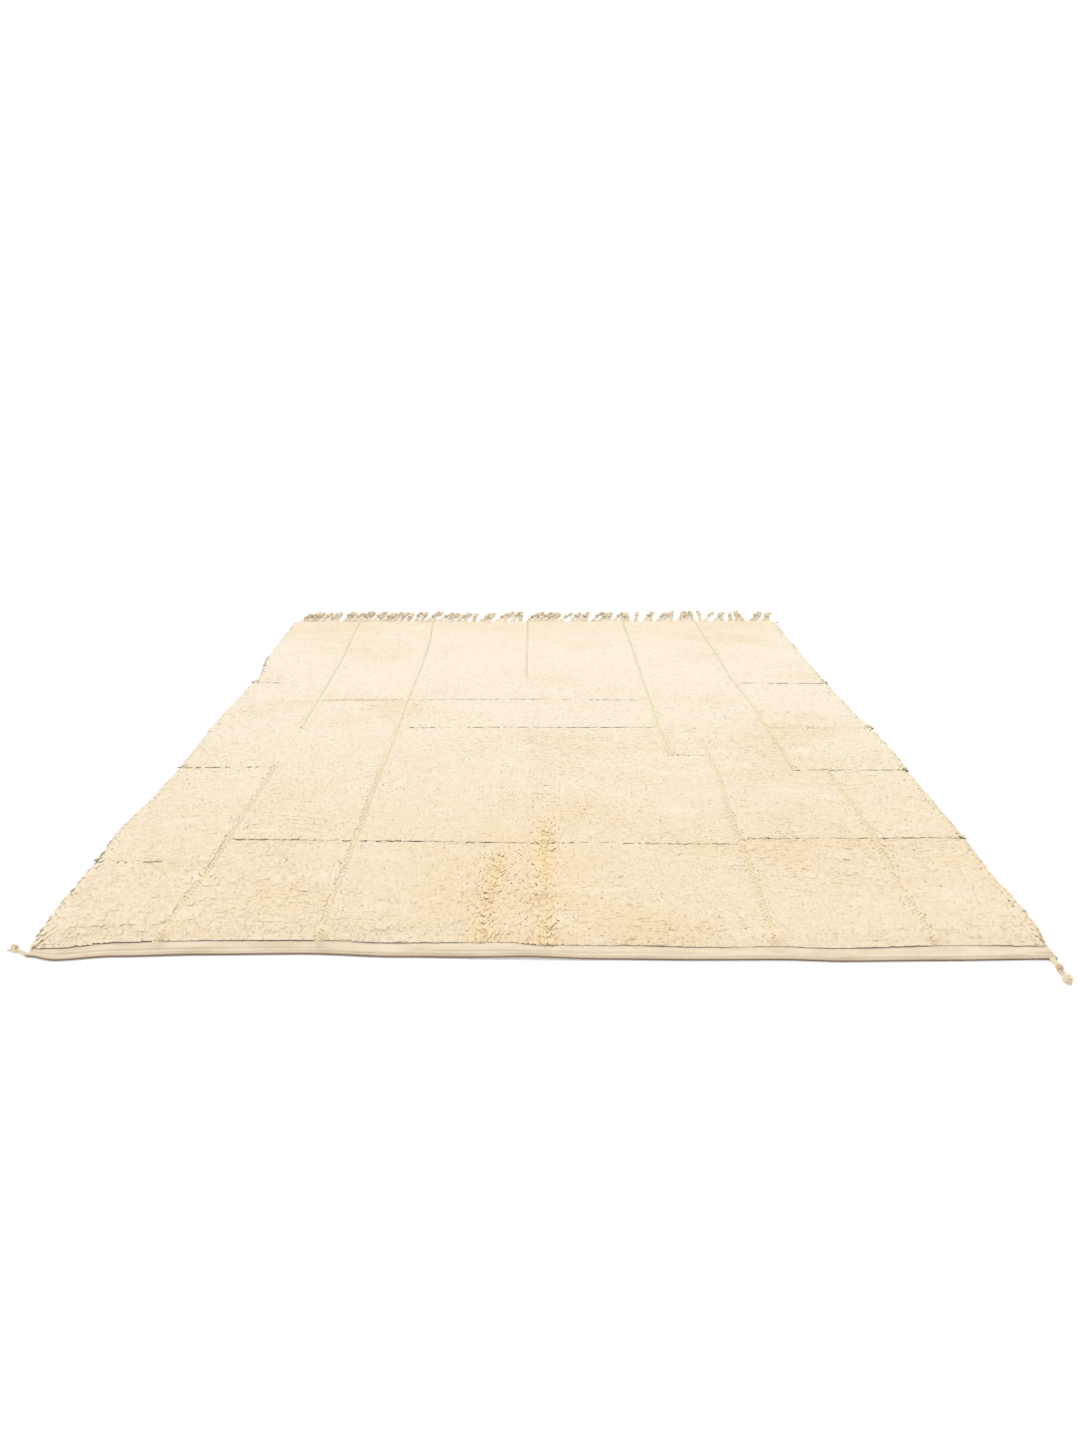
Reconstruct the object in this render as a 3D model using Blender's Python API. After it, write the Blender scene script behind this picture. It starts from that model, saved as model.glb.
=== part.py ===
"""Beni Ourain rug: hand-knotted wool pile with sunk lines, a flat-woven heading and a tied warp fringe.

Units are metres and +Z is up. The rug lies flat on z = 0, with its heading towards -Y and its fringe
towards +Y. The origin is on the underside of the pile cloth, midway across the rug and midway between the
heading's outer edge and the far end of the pile. In the tables, "across" is measured along +X from the
rug's centre line, and "reach" along +Y from the heading's outer edge.
"""

import math
import random
from typing import Callable, NamedTuple

import bmesh
import bpy
from bmesh.types import BMesh, BMEdge, BMFace, BMVert
from mathutils import Vector, noise

# ---- The rug as a whole ----
CLOTH_WIDTH = 2.50
CLOTH_LENGTH = 3.10
HALF_WIDTH = CLOTH_WIDTH / 2.0
GAP = 0.0003
SEED = 7
SHARP_ANGLE = 40.0
# A distance past every edge of the cloth, for lines that run out over its rim.
BEYOND = 2.0 * CLOTH_LENGTH
# A smaller distance than this counts as none.
NEXT_TO_NONE = 0.0001

# ---- Colours, linear, and roughness ----
PILE_COLOUR = (0.87, 0.76, 0.55)
PILE_ROUGHNESS = 0.95
FLAT_COLOUR = (0.80, 0.69, 0.50)
FLAT_ROUGHNESS = 0.92
WARP_COLOUR = (0.70, 0.62, 0.45)
WARP_ROUGHNESS = 0.90

# ---- Which coordinate of a Point is which ----
ACROSS = 0
REACH = 1

# ---- Pile cloth ----
PILE_TOP = 0.026
GROUND_THICKNESS = 0.0068
SUNK_FLOOR = 0.010
RIM_BULGE_HEIGHT = 0.012
RIM_SHOULDER_HEIGHT = 0.021
RIM_LEAST_STEP = 0.0008
RIM_DEPTH = 0.020
SHOULDER_SHARE = 0.7
CORNER_SHARE = 0.8
RIM_OVERHANG = 0.004
LUMP_HEIGHT = 0.0022
LUMP_SPACING = 0.16
RIM_LUMP = 0.004
LIP_DROP = 0.003
LINE_HALF_FLOOR = 0.009
LINE_HALF_WIDTH = 0.015
CROSS_HALF_FLOOR = 0.005
CROSS_HALF_WIDTH = 0.011
FILL_SPACING = 0.13
LINE_PULL = 0.005
UNDERSIDE_MIDDLE = (-0.31, 1.24)
RIM_LUMPS_PER_METRE = 9.0
QUAD_CORNERS = 4

# ---- Locks of pile that hang over the rim ----
LOCK_PITCH = 0.036
LOCK_LENGTH = 0.009
LOCK_DROP = 0.003
LOCK_TIP = 0.4
LOCK_EVERY = 3

# ---- Heading and the cord along its edge ----
HEADING_THICKNESS = 0.006
HEADING_ROWS = 3
CORD_RADIUS = 0.004
CORD_SIDES = 8
LIFT_HEIGHT = 0.004
LIFT_CENTRE = -0.03
LIFT_HALF_WIDTH = 0.22

# ---- Fringe ----
FRINGE_STRIP_DEPTH = 0.034
FRINGE_STRIP_THICKNESS = 0.005
FRINGE_STRIP_INSET = 0.007
TASSEL_COUNT = 76
TASSEL_WIDTH = 0.0085
TASSEL_LENGTH = 0.165
TASSEL_LENGTH_SPREAD = 0.020
TASSEL_LEAN = 0.030
TASSEL_SWAY = 0.007
TASSEL_SWAY_TURN = 0.75 * math.pi
TASSEL_EDGE_MARGIN = 0.016
# A face whose normal has a larger Y than this faces away from the pile.
FACES_FAR = 0.7

# ---- Corner tassels ----
PLAIT_SIDES = 6
PLAIT_RADIUS = 0.0052
ROUTE_STEPS = 4
END_SIDES = 4
END_RADIUS = 0.0037
END_MIDDLE_SHARE = 0.9
END_TIP_SHARE = 0.6


class Point(NamedTuple):
    """A place on a line of the rug's plan."""

    across: float
    reach: float


class Span(NamedTuple):
    """A stretch of a line along which the pile is sunk."""

    start: float
    end: float


class SunkLine(NamedTuple):
    """A line of the relief: where it runs, and the stretches where it is sunk."""

    path: tuple[Point, ...]
    spans: tuple[Span, ...]


class Section(NamedTuple):
    """A cross-section of a strand: how far along it is, and its width and height in strand widths."""

    along: float
    width: float
    height: float


class Station(NamedTuple):
    """A row or column of the pile grid, beside a line of the plan.

    `line` gives the line's place for a distance along it, `spans` the stretches where `level` holds, and
    `level` the part of the pile's profile that the station shapes.
    """

    line: Callable[[float], float]
    spans: tuple[Span, ...]
    offset: float
    level: str


# Lines that run the length of the rug. Each path goes from the heading to the fringe.
LENGTHWISE = {
    "left": SunkLine(
        (
            Point(-0.941, 0.06),
            Point(-0.912, 0.49),
            Point(-0.899, 1.17),
            Point(-0.886, 1.55),
            Point(-0.882, 2.30),
            Point(-0.902, CLOTH_LENGTH),
        ),
        (Span(-BEYOND, 1.17), Span(1.55, BEYOND)),
    ),
    "middle_left": SunkLine(
        (
            Point(-0.544, 0.06),
            Point(-0.534, 0.80),
            Point(-0.521, 1.64),
            Point(-0.508, 2.57),
            Point(-0.525, CLOTH_LENGTH),
        ),
        (Span(-BEYOND, BEYOND),),
    ),
    "centre": SunkLine((Point(-0.040, 0.06), Point(-0.042, CLOTH_LENGTH)), (Span(2.18, BEYOND),)),
    "middle_right_far": SunkLine(
        (
            Point(0.470, 0.06),
            Point(0.475, 1.27),
            Point(0.461, 1.55),
            Point(0.456, 2.30),
            Point(0.448, CLOTH_LENGTH),
        ),
        (Span(1.27, BEYOND),),
    ),
    "middle_right_near": SunkLine(
        (
            Point(0.582, 0.06),
            Point(0.590, 0.40),
            Point(0.593, 0.70),
            Point(0.613, 1.10),
            Point(0.606, 1.27),
            Point(0.606, CLOTH_LENGTH),
        ),
        (Span(-BEYOND, 1.27),),
    ),
    "right_far": SunkLine(
        (
            Point(0.845, 0.06),
            Point(0.872, 1.13),
            Point(0.865, 1.65),
            Point(0.836, 2.20),
            Point(0.820, CLOTH_LENGTH),
        ),
        (Span(1.13, BEYOND),),
    ),
    "right_near": SunkLine(
        (
            Point(0.974, 0.06),
            Point(0.972, 0.30),
            Point(0.995, 0.70),
            Point(0.986, 1.13),
            Point(0.986, CLOTH_LENGTH),
        ),
        (Span(-BEYOND, 1.13),),
    ),
}

# Lines that run across the rug. Each path goes from the left edge to the right one.
CROSSWISE = {
    "first": SunkLine((Point(-HALF_WIDTH, 0.487), Point(HALF_WIDTH, 0.450)), (Span(-BEYOND, -1.03),)),
    "second": SunkLine(
        (
            Point(-0.90, 0.623),
            Point(-0.53, 0.613),
            Point(0.0, 0.597),
            Point(0.58, 0.583),
            Point(0.62, 0.618),
            Point(HALF_WIDTH, 0.618),
        ),
        (Span(-0.90, BEYOND),),
    ),
    "third": SunkLine(
        (Point(-HALF_WIDTH, 1.170), Point(-0.90, 1.170), Point(0.87, 1.130), Point(HALF_WIDTH, 1.130)),
        (Span(-BEYOND, -0.899), Span(0.872, BEYOND)),
    ),
    "step": SunkLine((Point(-HALF_WIDTH, 1.29), Point(HALF_WIDTH, 1.262)), (Span(0.475, 0.606),)),
    "fourth": SunkLine(
        (Point(-0.52, 1.554), Point(0.46, 1.548), Point(0.87, 1.535), Point(HALF_WIDTH, 1.535)),
        (Span(-0.521, 0.461), Span(0.868, BEYOND)),
    ),
    "fifth": SunkLine(
        (Point(-0.88, 1.868), Point(-0.04, 1.875), Point(0.46, 1.860)),
        (Span(-0.885, 0.459),),
    ),
    "sixth": SunkLine(
        (Point(-HALF_WIDTH, 2.104), Point(-1.03, 2.092), Point(0.85, 2.075), Point(HALF_WIDTH, 2.073)),
        (Span(-BEYOND, -1.03), Span(0.84, BEYOND)),
    ),
}

# Outlines of the cloth in plan.
LEFT_EDGE = (
    Point(-HALF_WIDTH + 0.006, 0.05),
    Point(-HALF_WIDTH - 0.004, 0.25),
    Point(-HALF_WIDTH - 0.002, 0.45),
    Point(-HALF_WIDTH - 0.009, 0.69),
    Point(-HALF_WIDTH + 0.012, 1.02),
    Point(-HALF_WIDTH + 0.020, 1.17),
    Point(-HALF_WIDTH + 0.016, 1.60),
    Point(-HALF_WIDTH + 0.041, 2.21),
    Point(-HALF_WIDTH + 0.013, 2.51),
    Point(-HALF_WIDTH + 0.009, CLOTH_LENGTH),
)
RIGHT_EDGE = (
    Point(HALF_WIDTH - 0.001, 0.05),
    Point(HALF_WIDTH + 0.012, 0.23),
    Point(HALF_WIDTH + 0.006, 0.40),
    Point(HALF_WIDTH + 0.015, 0.70),
    Point(HALF_WIDTH + 0.017, 1.13),
    Point(HALF_WIDTH + 0.025, 1.32),
    Point(HALF_WIDTH + 0.021, 1.52),
    Point(HALF_WIDTH + 0.001, 1.75),
    Point(HALF_WIDTH - 0.011, 2.07),
    Point(HALF_WIDTH - 0.015, 2.50),
    Point(HALF_WIDTH - 0.015, CLOTH_LENGTH),
)
NEAR_EDGE = (
    Point(-1.240, 0.027),
    Point(-1.170, 0.010),
    Point(-1.035, 0.025),
    Point(-0.815, 0.032),
    Point(-0.580, 0.034),
    Point(-0.330, 0.019),
    Point(-0.070, 0.012),
    Point(0.150, 0.006),
    Point(0.400, 0.001),
    Point(0.580, 0.001),
    Point(0.740, -0.007),
    Point(0.960, -0.005),
    Point(1.240, -0.001),
)
HEADING_END = (
    Point(-1.240, 0.0620),
    Point(-1.190, 0.0655),
    Point(-1.035, 0.0915),
    Point(-0.815, 0.0985),
    Point(-0.520, 0.0965),
    Point(-0.370, 0.0835),
    Point(-0.080, 0.0855),
    Point(0.010, 0.0715),
    Point(0.220, 0.0695),
    Point(0.400, 0.0590),
    Point(0.560, 0.0620),
    Point(0.740, 0.0530),
    Point(1.040, 0.0635),
    Point(1.240, 0.0590),
)
FAR_EDGE = (
    Point(-HALF_WIDTH, CLOTH_LENGTH),
    Point(0.0, CLOTH_LENGTH - 0.006),
    Point(HALF_WIDTH, CLOTH_LENGTH),
)

# A tied tassel of the fringe, from its root to its tip.
TASSEL_SECTIONS = (
    Section(0.00, 0.90, 0.62),
    Section(0.08, 0.85, 0.80),
    Section(0.15, 1.45, 1.30),
    Section(0.23, 0.95, 0.95),
    Section(0.74, 0.95, 0.95),
    Section(0.81, 1.40, 1.25),
    Section(1.00, 1.15, 0.50),
)

# Plaited corner tassels: the middle line of each, measured from the end of the edge cord.
RIGHT_PLAIT = (
    Point(-0.016, -CORD_RADIUS - 2.0 * GAP),
    Point(-0.016, -0.013),
    Point(-0.015, -0.032),
    Point(-0.020, -0.054),
    Point(-0.023, -0.077),
    Point(-0.026, -0.098),
)
LEFT_PLAIT = (
    Point(-2.0 * GAP, 0.0),
    Point(-0.007, 0.0),
    Point(-0.014, 0.007),
    Point(-0.022, 0.018),
    Point(-0.031, 0.025),
)
RIGHT_KNOTS = (0.45, 0.93)
LEFT_KNOTS = (0.30,)
KNOT_SWELL = 0.75
KNOT_HALF_LENGTH = 0.006

# Loose ends of a corner tassel: the turn from the plait's direction in degrees, and the length.
RIGHT_ENDS = ((-24.0, 0.022), (4.0, 0.027), (30.0, 0.019))
LEFT_ENDS = ((-38.0, 0.036), (27.0, 0.030))


def along_path(path: tuple[Point, ...], key: int, at: float) -> float:
    """The path's other coordinate where coordinate number `key` is `at`, eased through its points."""
    first, last = path[0], path[-1]
    if at <= first[key]:
        return first[1 - key]
    if at >= last[key]:
        return last[1 - key]
    for low, high in zip(path, path[1:]):
        if at <= high[key]:
            share = (at - low[key]) / (high[key] - low[key])
            eased = share * share * (3.0 - 2.0 * share)
            return low[1 - key] + (high[1 - key] - low[1 - key]) * eased
    return last[1 - key]


def across_at(path: tuple[Point, ...], reach: float) -> float:
    """How far across a lengthwise path is at this reach."""
    return along_path(path, REACH, reach)


def reach_at(path: tuple[Point, ...], across: float) -> float:
    """The reach of a crosswise path this far across."""
    return along_path(path, ACROSS, across)


def to_world(across: float, reach: float, height: float) -> Vector:
    """The world place of a point of the plan."""
    return Vector((across, reach - CLOTH_LENGTH / 2.0, height))


def near_line(across: float) -> float:
    """Reach of the heading's outer edge."""
    return reach_at(NEAR_EDGE, across)


def heading_end(across: float) -> float:
    """Reach of the inner edge of the heading, where the ground of the pile begins."""
    return reach_at(HEADING_END, across)


def lift(across: float) -> float:
    """How far the heading's front edge stands off the floor in its one soft wave."""
    share = (across - LIFT_CENTRE) / LIFT_HALF_WIDTH
    return LIFT_HEIGHT * math.cos(share * math.pi / 2.0) ** 2 if abs(share) < 1.0 else 0.0


def sunk_at(spans: tuple[Span, ...], at: float) -> bool:
    """Whether a line with these spans is sunk at this distance along it."""
    return any(span.start <= at <= span.end for span in spans)


def left_rim(reach: float) -> float:
    """How far across the left rim of the pile is."""
    return across_at(LEFT_EDGE, reach)


def right_rim(reach: float) -> float:
    """How far across the right rim of the pile is."""
    return across_at(RIGHT_EDGE, reach)


def near_rim(across: float) -> float:
    """Reach of the near rim, which hangs over the heading."""
    return heading_end(across) - RIM_OVERHANG


def far_rim(across: float) -> float:
    """Reach of the far rim, which hangs over the strip of the fringe."""
    return reach_at(FAR_EDGE, across) + RIM_OVERHANG


def line_stations(line: SunkLine, key: int, half_floor: float, half_width: float) -> list[Station]:
    """The four stations that shape a sunk line: lip, floor, floor, lip."""

    def place(at: float) -> float:
        return along_path(line.path, key, at)

    return [
        Station(place, line.spans, -half_width, "lip"),
        Station(place, line.spans, -half_floor, "floor"),
        Station(place, line.spans, half_floor, "floor"),
        Station(place, line.spans, half_width, "lip"),
    ]


def rim_station(place: Callable[[float], float], inward: float) -> Station:
    """The station where the top of the pile begins to fall away to the rim."""
    return Station(place, (), inward * RIM_DEPTH, "top")


class PileGrid:
    """Rows and columns of the pile's top, which follow the sunk lines and the outline."""

    def __init__(self) -> None:
        """Lays out the stations in both directions, and fills the spaces between them."""
        columns = [rim_station(left_rim, 1.0)]
        for line in LENGTHWISE.values():
            columns += line_stations(line, REACH, LINE_HALF_FLOOR, LINE_HALF_WIDTH)
        columns.append(rim_station(right_rim, -1.0))
        rows = [rim_station(near_rim, 1.0)]
        for line in CROSSWISE.values():
            rows += line_stations(line, ACROSS, CROSS_HALF_FLOOR, CROSS_HALF_WIDTH)
        rows.append(rim_station(far_rim, -1.0))
        self.columns = self.fill(columns, CLOTH_LENGTH / 2.0)
        self.rows = self.fill(rows, 0.0)

    @staticmethod
    def fill(stations: list[Station], middle: float) -> list[tuple[Station, Station, float]]:
        """(low, high, share) for each grid line: the stations it lies between, and how far between them."""
        lines = [(stations[0], stations[0], 1.0)]
        for low, high in zip(stations, stations[1:]):
            space = high.line(middle) + high.offset - low.line(middle) - low.offset
            steps = max(1, round(space / FILL_SPACING))
            lines += [(low, high, step / steps) for step in range(1, steps + 1)]
        return lines

    @staticmethod
    def between(grid_line: tuple[Station, Station, float], at: float) -> float:
        """The place of a grid line at this distance along it."""
        low, high, share = grid_line
        start = low.line(at) + low.offset
        return start + (high.line(at) + high.offset - start) * share

    def plan_place(self, column: int, row: int) -> Point:
        """Where a grid point lies in the plan."""
        nominal_reach = self.between(self.rows[row], 0.0)
        across = self.between(self.columns[column], nominal_reach)
        return Point(across, self.between(self.rows[row], across))

    def outward(self, column: int, row: int) -> Vector:
        """The way out of the cloth from a grid point of the border, and nothing for any other."""
        x = (column == len(self.columns) - 1) - (column == 0)
        y = (row == len(self.rows) - 1) - (row == 0)
        return Vector((x, y, 0.0)) * (CORNER_SHARE if x and y else 1.0)

    def height(self, column: int, row: int) -> float:
        """How high the pile stands at a grid point."""
        place = self.plan_place(column, row)
        levels = set()
        for grid_line, at in ((self.columns[column], place.reach), (self.rows[row], place.across)):
            station, share = grid_line[1], grid_line[2]
            if share == 1.0 and sunk_at(station.spans, at):
                levels.add(station.level)
        if "floor" in levels:
            return SUNK_FLOOR
        lump = noise.noise(Vector((*place, 0.0)) / LUMP_SPACING) * LUMP_HEIGHT
        return PILE_TOP + lump - (LIP_DROP if "lip" in levels else 0.0)


def make_material(name: str, colour: tuple[float, float, float], roughness: float) -> bpy.types.Material:
    """A matt Principled material in a linear colour."""
    material = bpy.data.materials.new(name)
    material.use_nodes = True
    shader = material.node_tree.nodes["Principled BSDF"]
    shader.inputs["Base Color"].default_value = (*colour, 1.0)
    shader.inputs["Roughness"].default_value = roughness
    shader.inputs["Metallic"].default_value = 0.0
    return material


def finish(mesh: BMesh, name: str, material: bpy.types.Material, smooth: bool = True) -> bpy.types.Object:
    """Turns a closed bmesh into a named object of the scene."""
    bmesh.ops.recalc_face_normals(mesh, faces=mesh.faces[:])
    data = bpy.data.meshes.new(name)
    mesh.to_mesh(data)
    mesh.free()
    data.materials.append(material)
    if smooth:
        data.shade_smooth()
        data.set_sharp_from_angle(angle=math.radians(SHARP_ANGLE))
    made = bpy.data.objects.new(name, data)
    bpy.context.scene.collection.objects.link(made)
    return made


def boundary_edges(mesh: BMesh) -> list[BMEdge]:
    """The edges of the open border."""
    return [edge for edge in mesh.edges if edge.is_boundary]


def skirt_down(mesh: BMesh, place: Callable[[BMVert], Vector]) -> list[BMFace]:
    """Extrudes the open border once and puts each new corner where `place` says. Returns the new faces."""
    made = bmesh.ops.extrude_edge_only(mesh, edges=boundary_edges(mesh))["geom"]
    for vert in (item for item in made if isinstance(item, BMVert)):
        vert.co = place(vert)
    return [item for item in made if isinstance(item, BMFace)]


def split_border(mesh: BMesh) -> None:
    """Cuts the border of the pile's top into stretches a lock wide."""
    for edge in boundary_edges(mesh):
        cuts = round(edge.calc_length() / LOCK_PITCH) - 1
        if cuts > 0:
            bmesh.ops.bisect_edges(mesh, edges=[edge], cuts=cuts)
    bmesh.ops.triangulate(mesh, faces=[face for face in mesh.faces if len(face.verts) > QUAD_CORNERS])


def rim_pull(point: Vector, outward: Vector) -> float:
    """How far the rim is drawn in at a point of the border, which is further where a sunk line runs out."""
    along = point.x if abs(outward.y) > abs(outward.x) else point.y
    pull = RIM_LUMP * noise.noise(Vector((along * RIM_LUMPS_PER_METRE, outward.x, outward.y)))
    return pull + (LINE_PULL if point.z < RIM_SHOULDER_HEIGHT else 0.0)


def place_rim(mesh: BMesh, outward: object, rim: object) -> None:
    """Notes at each point of the border where the pile bulges out furthest beside it."""
    for vert in {corner for edge in boundary_edges(mesh) for corner in edge.verts}:
        vert[rim] = vert.co + vert[outward] * (RIM_DEPTH - rim_pull(vert.co, vert[outward]))


def foot_of(vert: BMVert, outward: object) -> Vector:
    """Where the edge of the ground cloth lies, under a point of the bulging rim."""
    out = vert[outward]
    across = vert.co.x - out.x * RIM_OVERHANG
    reach = vert.co.y + CLOTH_LENGTH / 2.0
    if out.y < 0.0:
        reach = heading_end(across)
    if out.y > 0.0:
        reach = reach_at(FAR_EDGE, across)
    return to_world(across, reach, GROUND_THICKNESS)


def pull_locks(mesh: BMesh, faces: list[BMFace]) -> None:
    """Draws every third face of the rim out and down into a tapering lock of pile."""
    for face in faces[::LOCK_EVERY]:
        if min(vert.co.z for vert in face.verts) < RIM_BULGE_HEIGHT - GAP:
            continue
        outward = lowered(face.normal, 0.0).normalized()
        middle = face.calc_center_median()
        tip = bmesh.ops.extrude_discrete_faces(mesh, faces=[face])["faces"][0]
        for vert in tip.verts:
            vert.co = middle + (vert.co - middle) * LOCK_TIP + outward * LOCK_LENGTH
            vert.co.z -= LOCK_DROP


def build_pile_cloth(grid: PileGrid, material: bpy.types.Material) -> bpy.types.Object:
    """The pile and the ground it is knotted on, as one lumpy slab with its lines sunk into the top."""
    mesh = bmesh.new()
    outward = mesh.verts.layers.float_vector.new("outward")
    rim = mesh.verts.layers.float_vector.new("rim")
    bmesh.ops.create_grid(mesh, x_segments=len(grid.columns) - 1, y_segments=len(grid.rows) - 1, size=1.0)
    mesh.verts.ensure_lookup_table()
    for index, vert in enumerate(mesh.verts):
        row, column = divmod(index, len(grid.columns))
        vert.co = to_world(*grid.plan_place(column, row), grid.height(column, row))
        vert[outward] = grid.outward(column, row)
    split_border(mesh)
    place_rim(mesh, outward, rim)
    skirt_down(
        mesh,
        lambda vert: lowered(
            vert.co.lerp(vert[rim], SHOULDER_SHARE), min(RIM_SHOULDER_HEIGHT, vert.co.z - RIM_LEAST_STEP)
        ),
    )
    band = skirt_down(
        mesh, lambda vert: lowered(vert[rim], min(RIM_BULGE_HEIGHT, vert.co.z - RIM_LEAST_STEP))
    )
    skirt_down(mesh, lambda vert: foot_of(vert, outward))
    skirt_down(mesh, lambda vert: lowered(vert.co, 0.0))
    underside = bmesh.ops.contextual_create(mesh, geom=boundary_edges(mesh))["faces"]
    middle = bmesh.ops.poke(mesh, faces=underside)["verts"][0]
    middle.co = to_world(*UNDERSIDE_MIDDLE, 0.0)
    bmesh.ops.recalc_face_normals(mesh, faces=mesh.faces[:])
    pull_locks(mesh, in_order(band))
    return finish(mesh, "pile_cloth", material)


def in_order(faces: list[BMFace]) -> list[BMFace]:
    """The faces of the rim in order around it."""

    def bearing(face: BMFace) -> float:
        middle = face.calc_center_median()
        return math.atan2(middle.y, middle.x)

    return sorted(faces, key=bearing)


def foot_places(pile: bpy.types.Object) -> list[float]:
    """How far across each corner of the ground cloth's near edge is, from left to right."""
    near = [vert.co.x for vert in pile.data.vertices if on_near_foot(vert.co)]
    return sorted(near)


def on_near_foot(point: Vector) -> bool:
    """Whether a point of the pile cloth is a corner of its underside, on the heading's side."""
    edge = to_world(point.x, heading_end(point.x), 0.0)
    return (point - edge).length < NEXT_TO_NONE


def lowered(point: Vector, height: float) -> Vector:
    """The point at another height."""
    return Vector((point.x, point.y, height))


def build_heading(places: list[float], material: bpy.types.Material) -> bpy.types.Object:
    """The flat-woven strip between the pile and the edge cord."""
    mesh = bmesh.new()
    bmesh.ops.create_grid(mesh, x_segments=len(places) - 1, y_segments=HEADING_ROWS, size=1.0)
    mesh.verts.ensure_lookup_table()
    for index, vert in enumerate(mesh.verts):
        row, column = divmod(index, len(places))
        across = places[column]
        depth = row / HEADING_ROWS
        front = near_line(across) + 2.0 * CORD_RADIUS + GAP
        back = heading_end(across) - GAP
        height = HEADING_THICKNESS + lift(across) * (1.0 - depth) ** 2
        vert.co = to_world(across, front + (back - front) * depth, height)
    thicken_down(mesh, HEADING_THICKNESS)
    return finish(mesh, "heading", material)


def thicken_down(mesh: BMesh, thickness: float) -> None:
    """Closes an open sheet into a solid of this thickness, below the sheet."""
    made = bmesh.ops.extrude_face_region(mesh, geom=mesh.faces[:])["geom"]
    below = [item for item in made if isinstance(item, BMVert)]
    bmesh.ops.translate(mesh, verts=below, vec=Vector((0.0, 0.0, -thickness)))
    bmesh.ops.recalc_face_normals(mesh, faces=mesh.faces[:])


def tube(mesh: BMesh, middles: list[Vector], radii: list[float], sides: int) -> None:
    """A closed tube of flat rings through the middles, each ring square to the route in plan."""
    ring = bmesh.ops.create_circle(mesh, cap_ends=True, segments=sides, radius=1.0)["verts"]
    face = ring[0].link_faces[0]
    shape = [vert.co.copy() for vert in face.verts]
    for number, (middle, radius) in enumerate(zip(middles, radii)):
        if number:
            face = bmesh.ops.extrude_discrete_faces(mesh, faces=[face])["faces"][0]
        before = middles[max(number - 1, 0)]
        after = middles[min(number + 1, len(middles) - 1)]
        ahead = (after - before).normalized()
        side = ahead.cross(Vector((0.0, 0.0, 1.0))).normalized()
        up = side.cross(ahead)
        for vert, spot in zip(face.verts, shape):
            vert.co = middle + (side * spot.x + up * spot.y) * radius
    # The first ring has lost its face to the extrusion, so its open end is closed again.
    bmesh.ops.holes_fill(mesh, edges=boundary_edges(mesh), sides=sides)


def build_edge_cord(places: list[float], material: bpy.types.Material) -> bpy.types.Object:
    """The plied cord that is bound along the outer edge of the heading."""
    mesh = bmesh.new()
    middles = [
        to_world(across, near_line(across) + CORD_RADIUS, CORD_RADIUS + lift(across))
        for across in places
    ]
    tube(mesh, middles, [CORD_RADIUS] * len(middles), CORD_SIDES)
    return finish(mesh, "edge_cord", material)


def fringe_route(root: float, sway: float, length: float, along: float) -> Vector:
    """The middle of a tassel's foot, this share of the way from the strip to its tip."""
    reach = reach_at(FAR_EDGE, root) + GAP + FRINGE_STRIP_DEPTH + length * along
    return to_world(root + TASSEL_LEAN * along + sway * math.sin(along * TASSEL_SWAY_TURN), reach, 0.0)


def pull_tassel(mesh: BMesh, root_face: BMFace, chance: random.Random) -> None:
    """Draws one tassel out of a face of the fringe strip, level on the floor."""
    root = root_face.calc_center_median().x
    sway = chance.uniform(-TASSEL_SWAY, TASSEL_SWAY)
    length = TASSEL_LENGTH + chance.uniform(-1.0, 1.0) * TASSEL_LENGTH_SPREAD
    face = root_face
    for section in TASSEL_SECTIONS[1:]:
        face = bmesh.ops.extrude_discrete_faces(mesh, faces=[face])["faces"][0]
        foot = fringe_route(root, sway, length, section.along)
        middle = face.calc_center_median()
        for vert in face.verts:
            side = math.copysign(section.width * TASSEL_WIDTH / 2.0, vert.co.x - middle.x)
            top = section.height * TASSEL_WIDTH if vert.co.z > middle.z else 0.0
            vert.co = Vector((foot.x + side, foot.y, top))


def build_fringe(material: bpy.types.Material) -> bpy.types.Object:
    """The narrow woven strip beyond the pile, with its warps tied into tassels."""
    chance = random.Random(SEED)
    mesh = bmesh.new()
    left = LEFT_EDGE[-1].across + FRINGE_STRIP_INSET
    right = RIGHT_EDGE[-1].across - FRINGE_STRIP_INSET
    pitch = (right - left - 2.0 * TASSEL_EDGE_MARGIN) / (TASSEL_COUNT - 1)
    places = [left]
    for number in range(TASSEL_COUNT):
        middle = left + TASSEL_EDGE_MARGIN + pitch * number
        half = TASSEL_SECTIONS[0].width * TASSEL_WIDTH / 2.0
        places += [middle - half, middle + half]
    places.append(right)
    bmesh.ops.create_grid(mesh, x_segments=len(places) - 1, y_segments=1, size=1.0)
    mesh.verts.ensure_lookup_table()
    for index, vert in enumerate(mesh.verts):
        row, column = divmod(index, len(places))
        reach = reach_at(FAR_EDGE, places[column]) + GAP + FRINGE_STRIP_DEPTH * row
        vert.co = to_world(places[column], reach, FRINGE_STRIP_THICKNESS)
    thicken_down(mesh, FRINGE_STRIP_THICKNESS)
    outer = [face for face in mesh.faces if face.normal.y > FACES_FAR]
    outer.sort(key=lambda face: face.calc_center_median().x)
    for face in outer[1::2]:
        pull_tassel(mesh, face, chance)
    return finish(mesh, "fringe", material, smooth=False)


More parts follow.
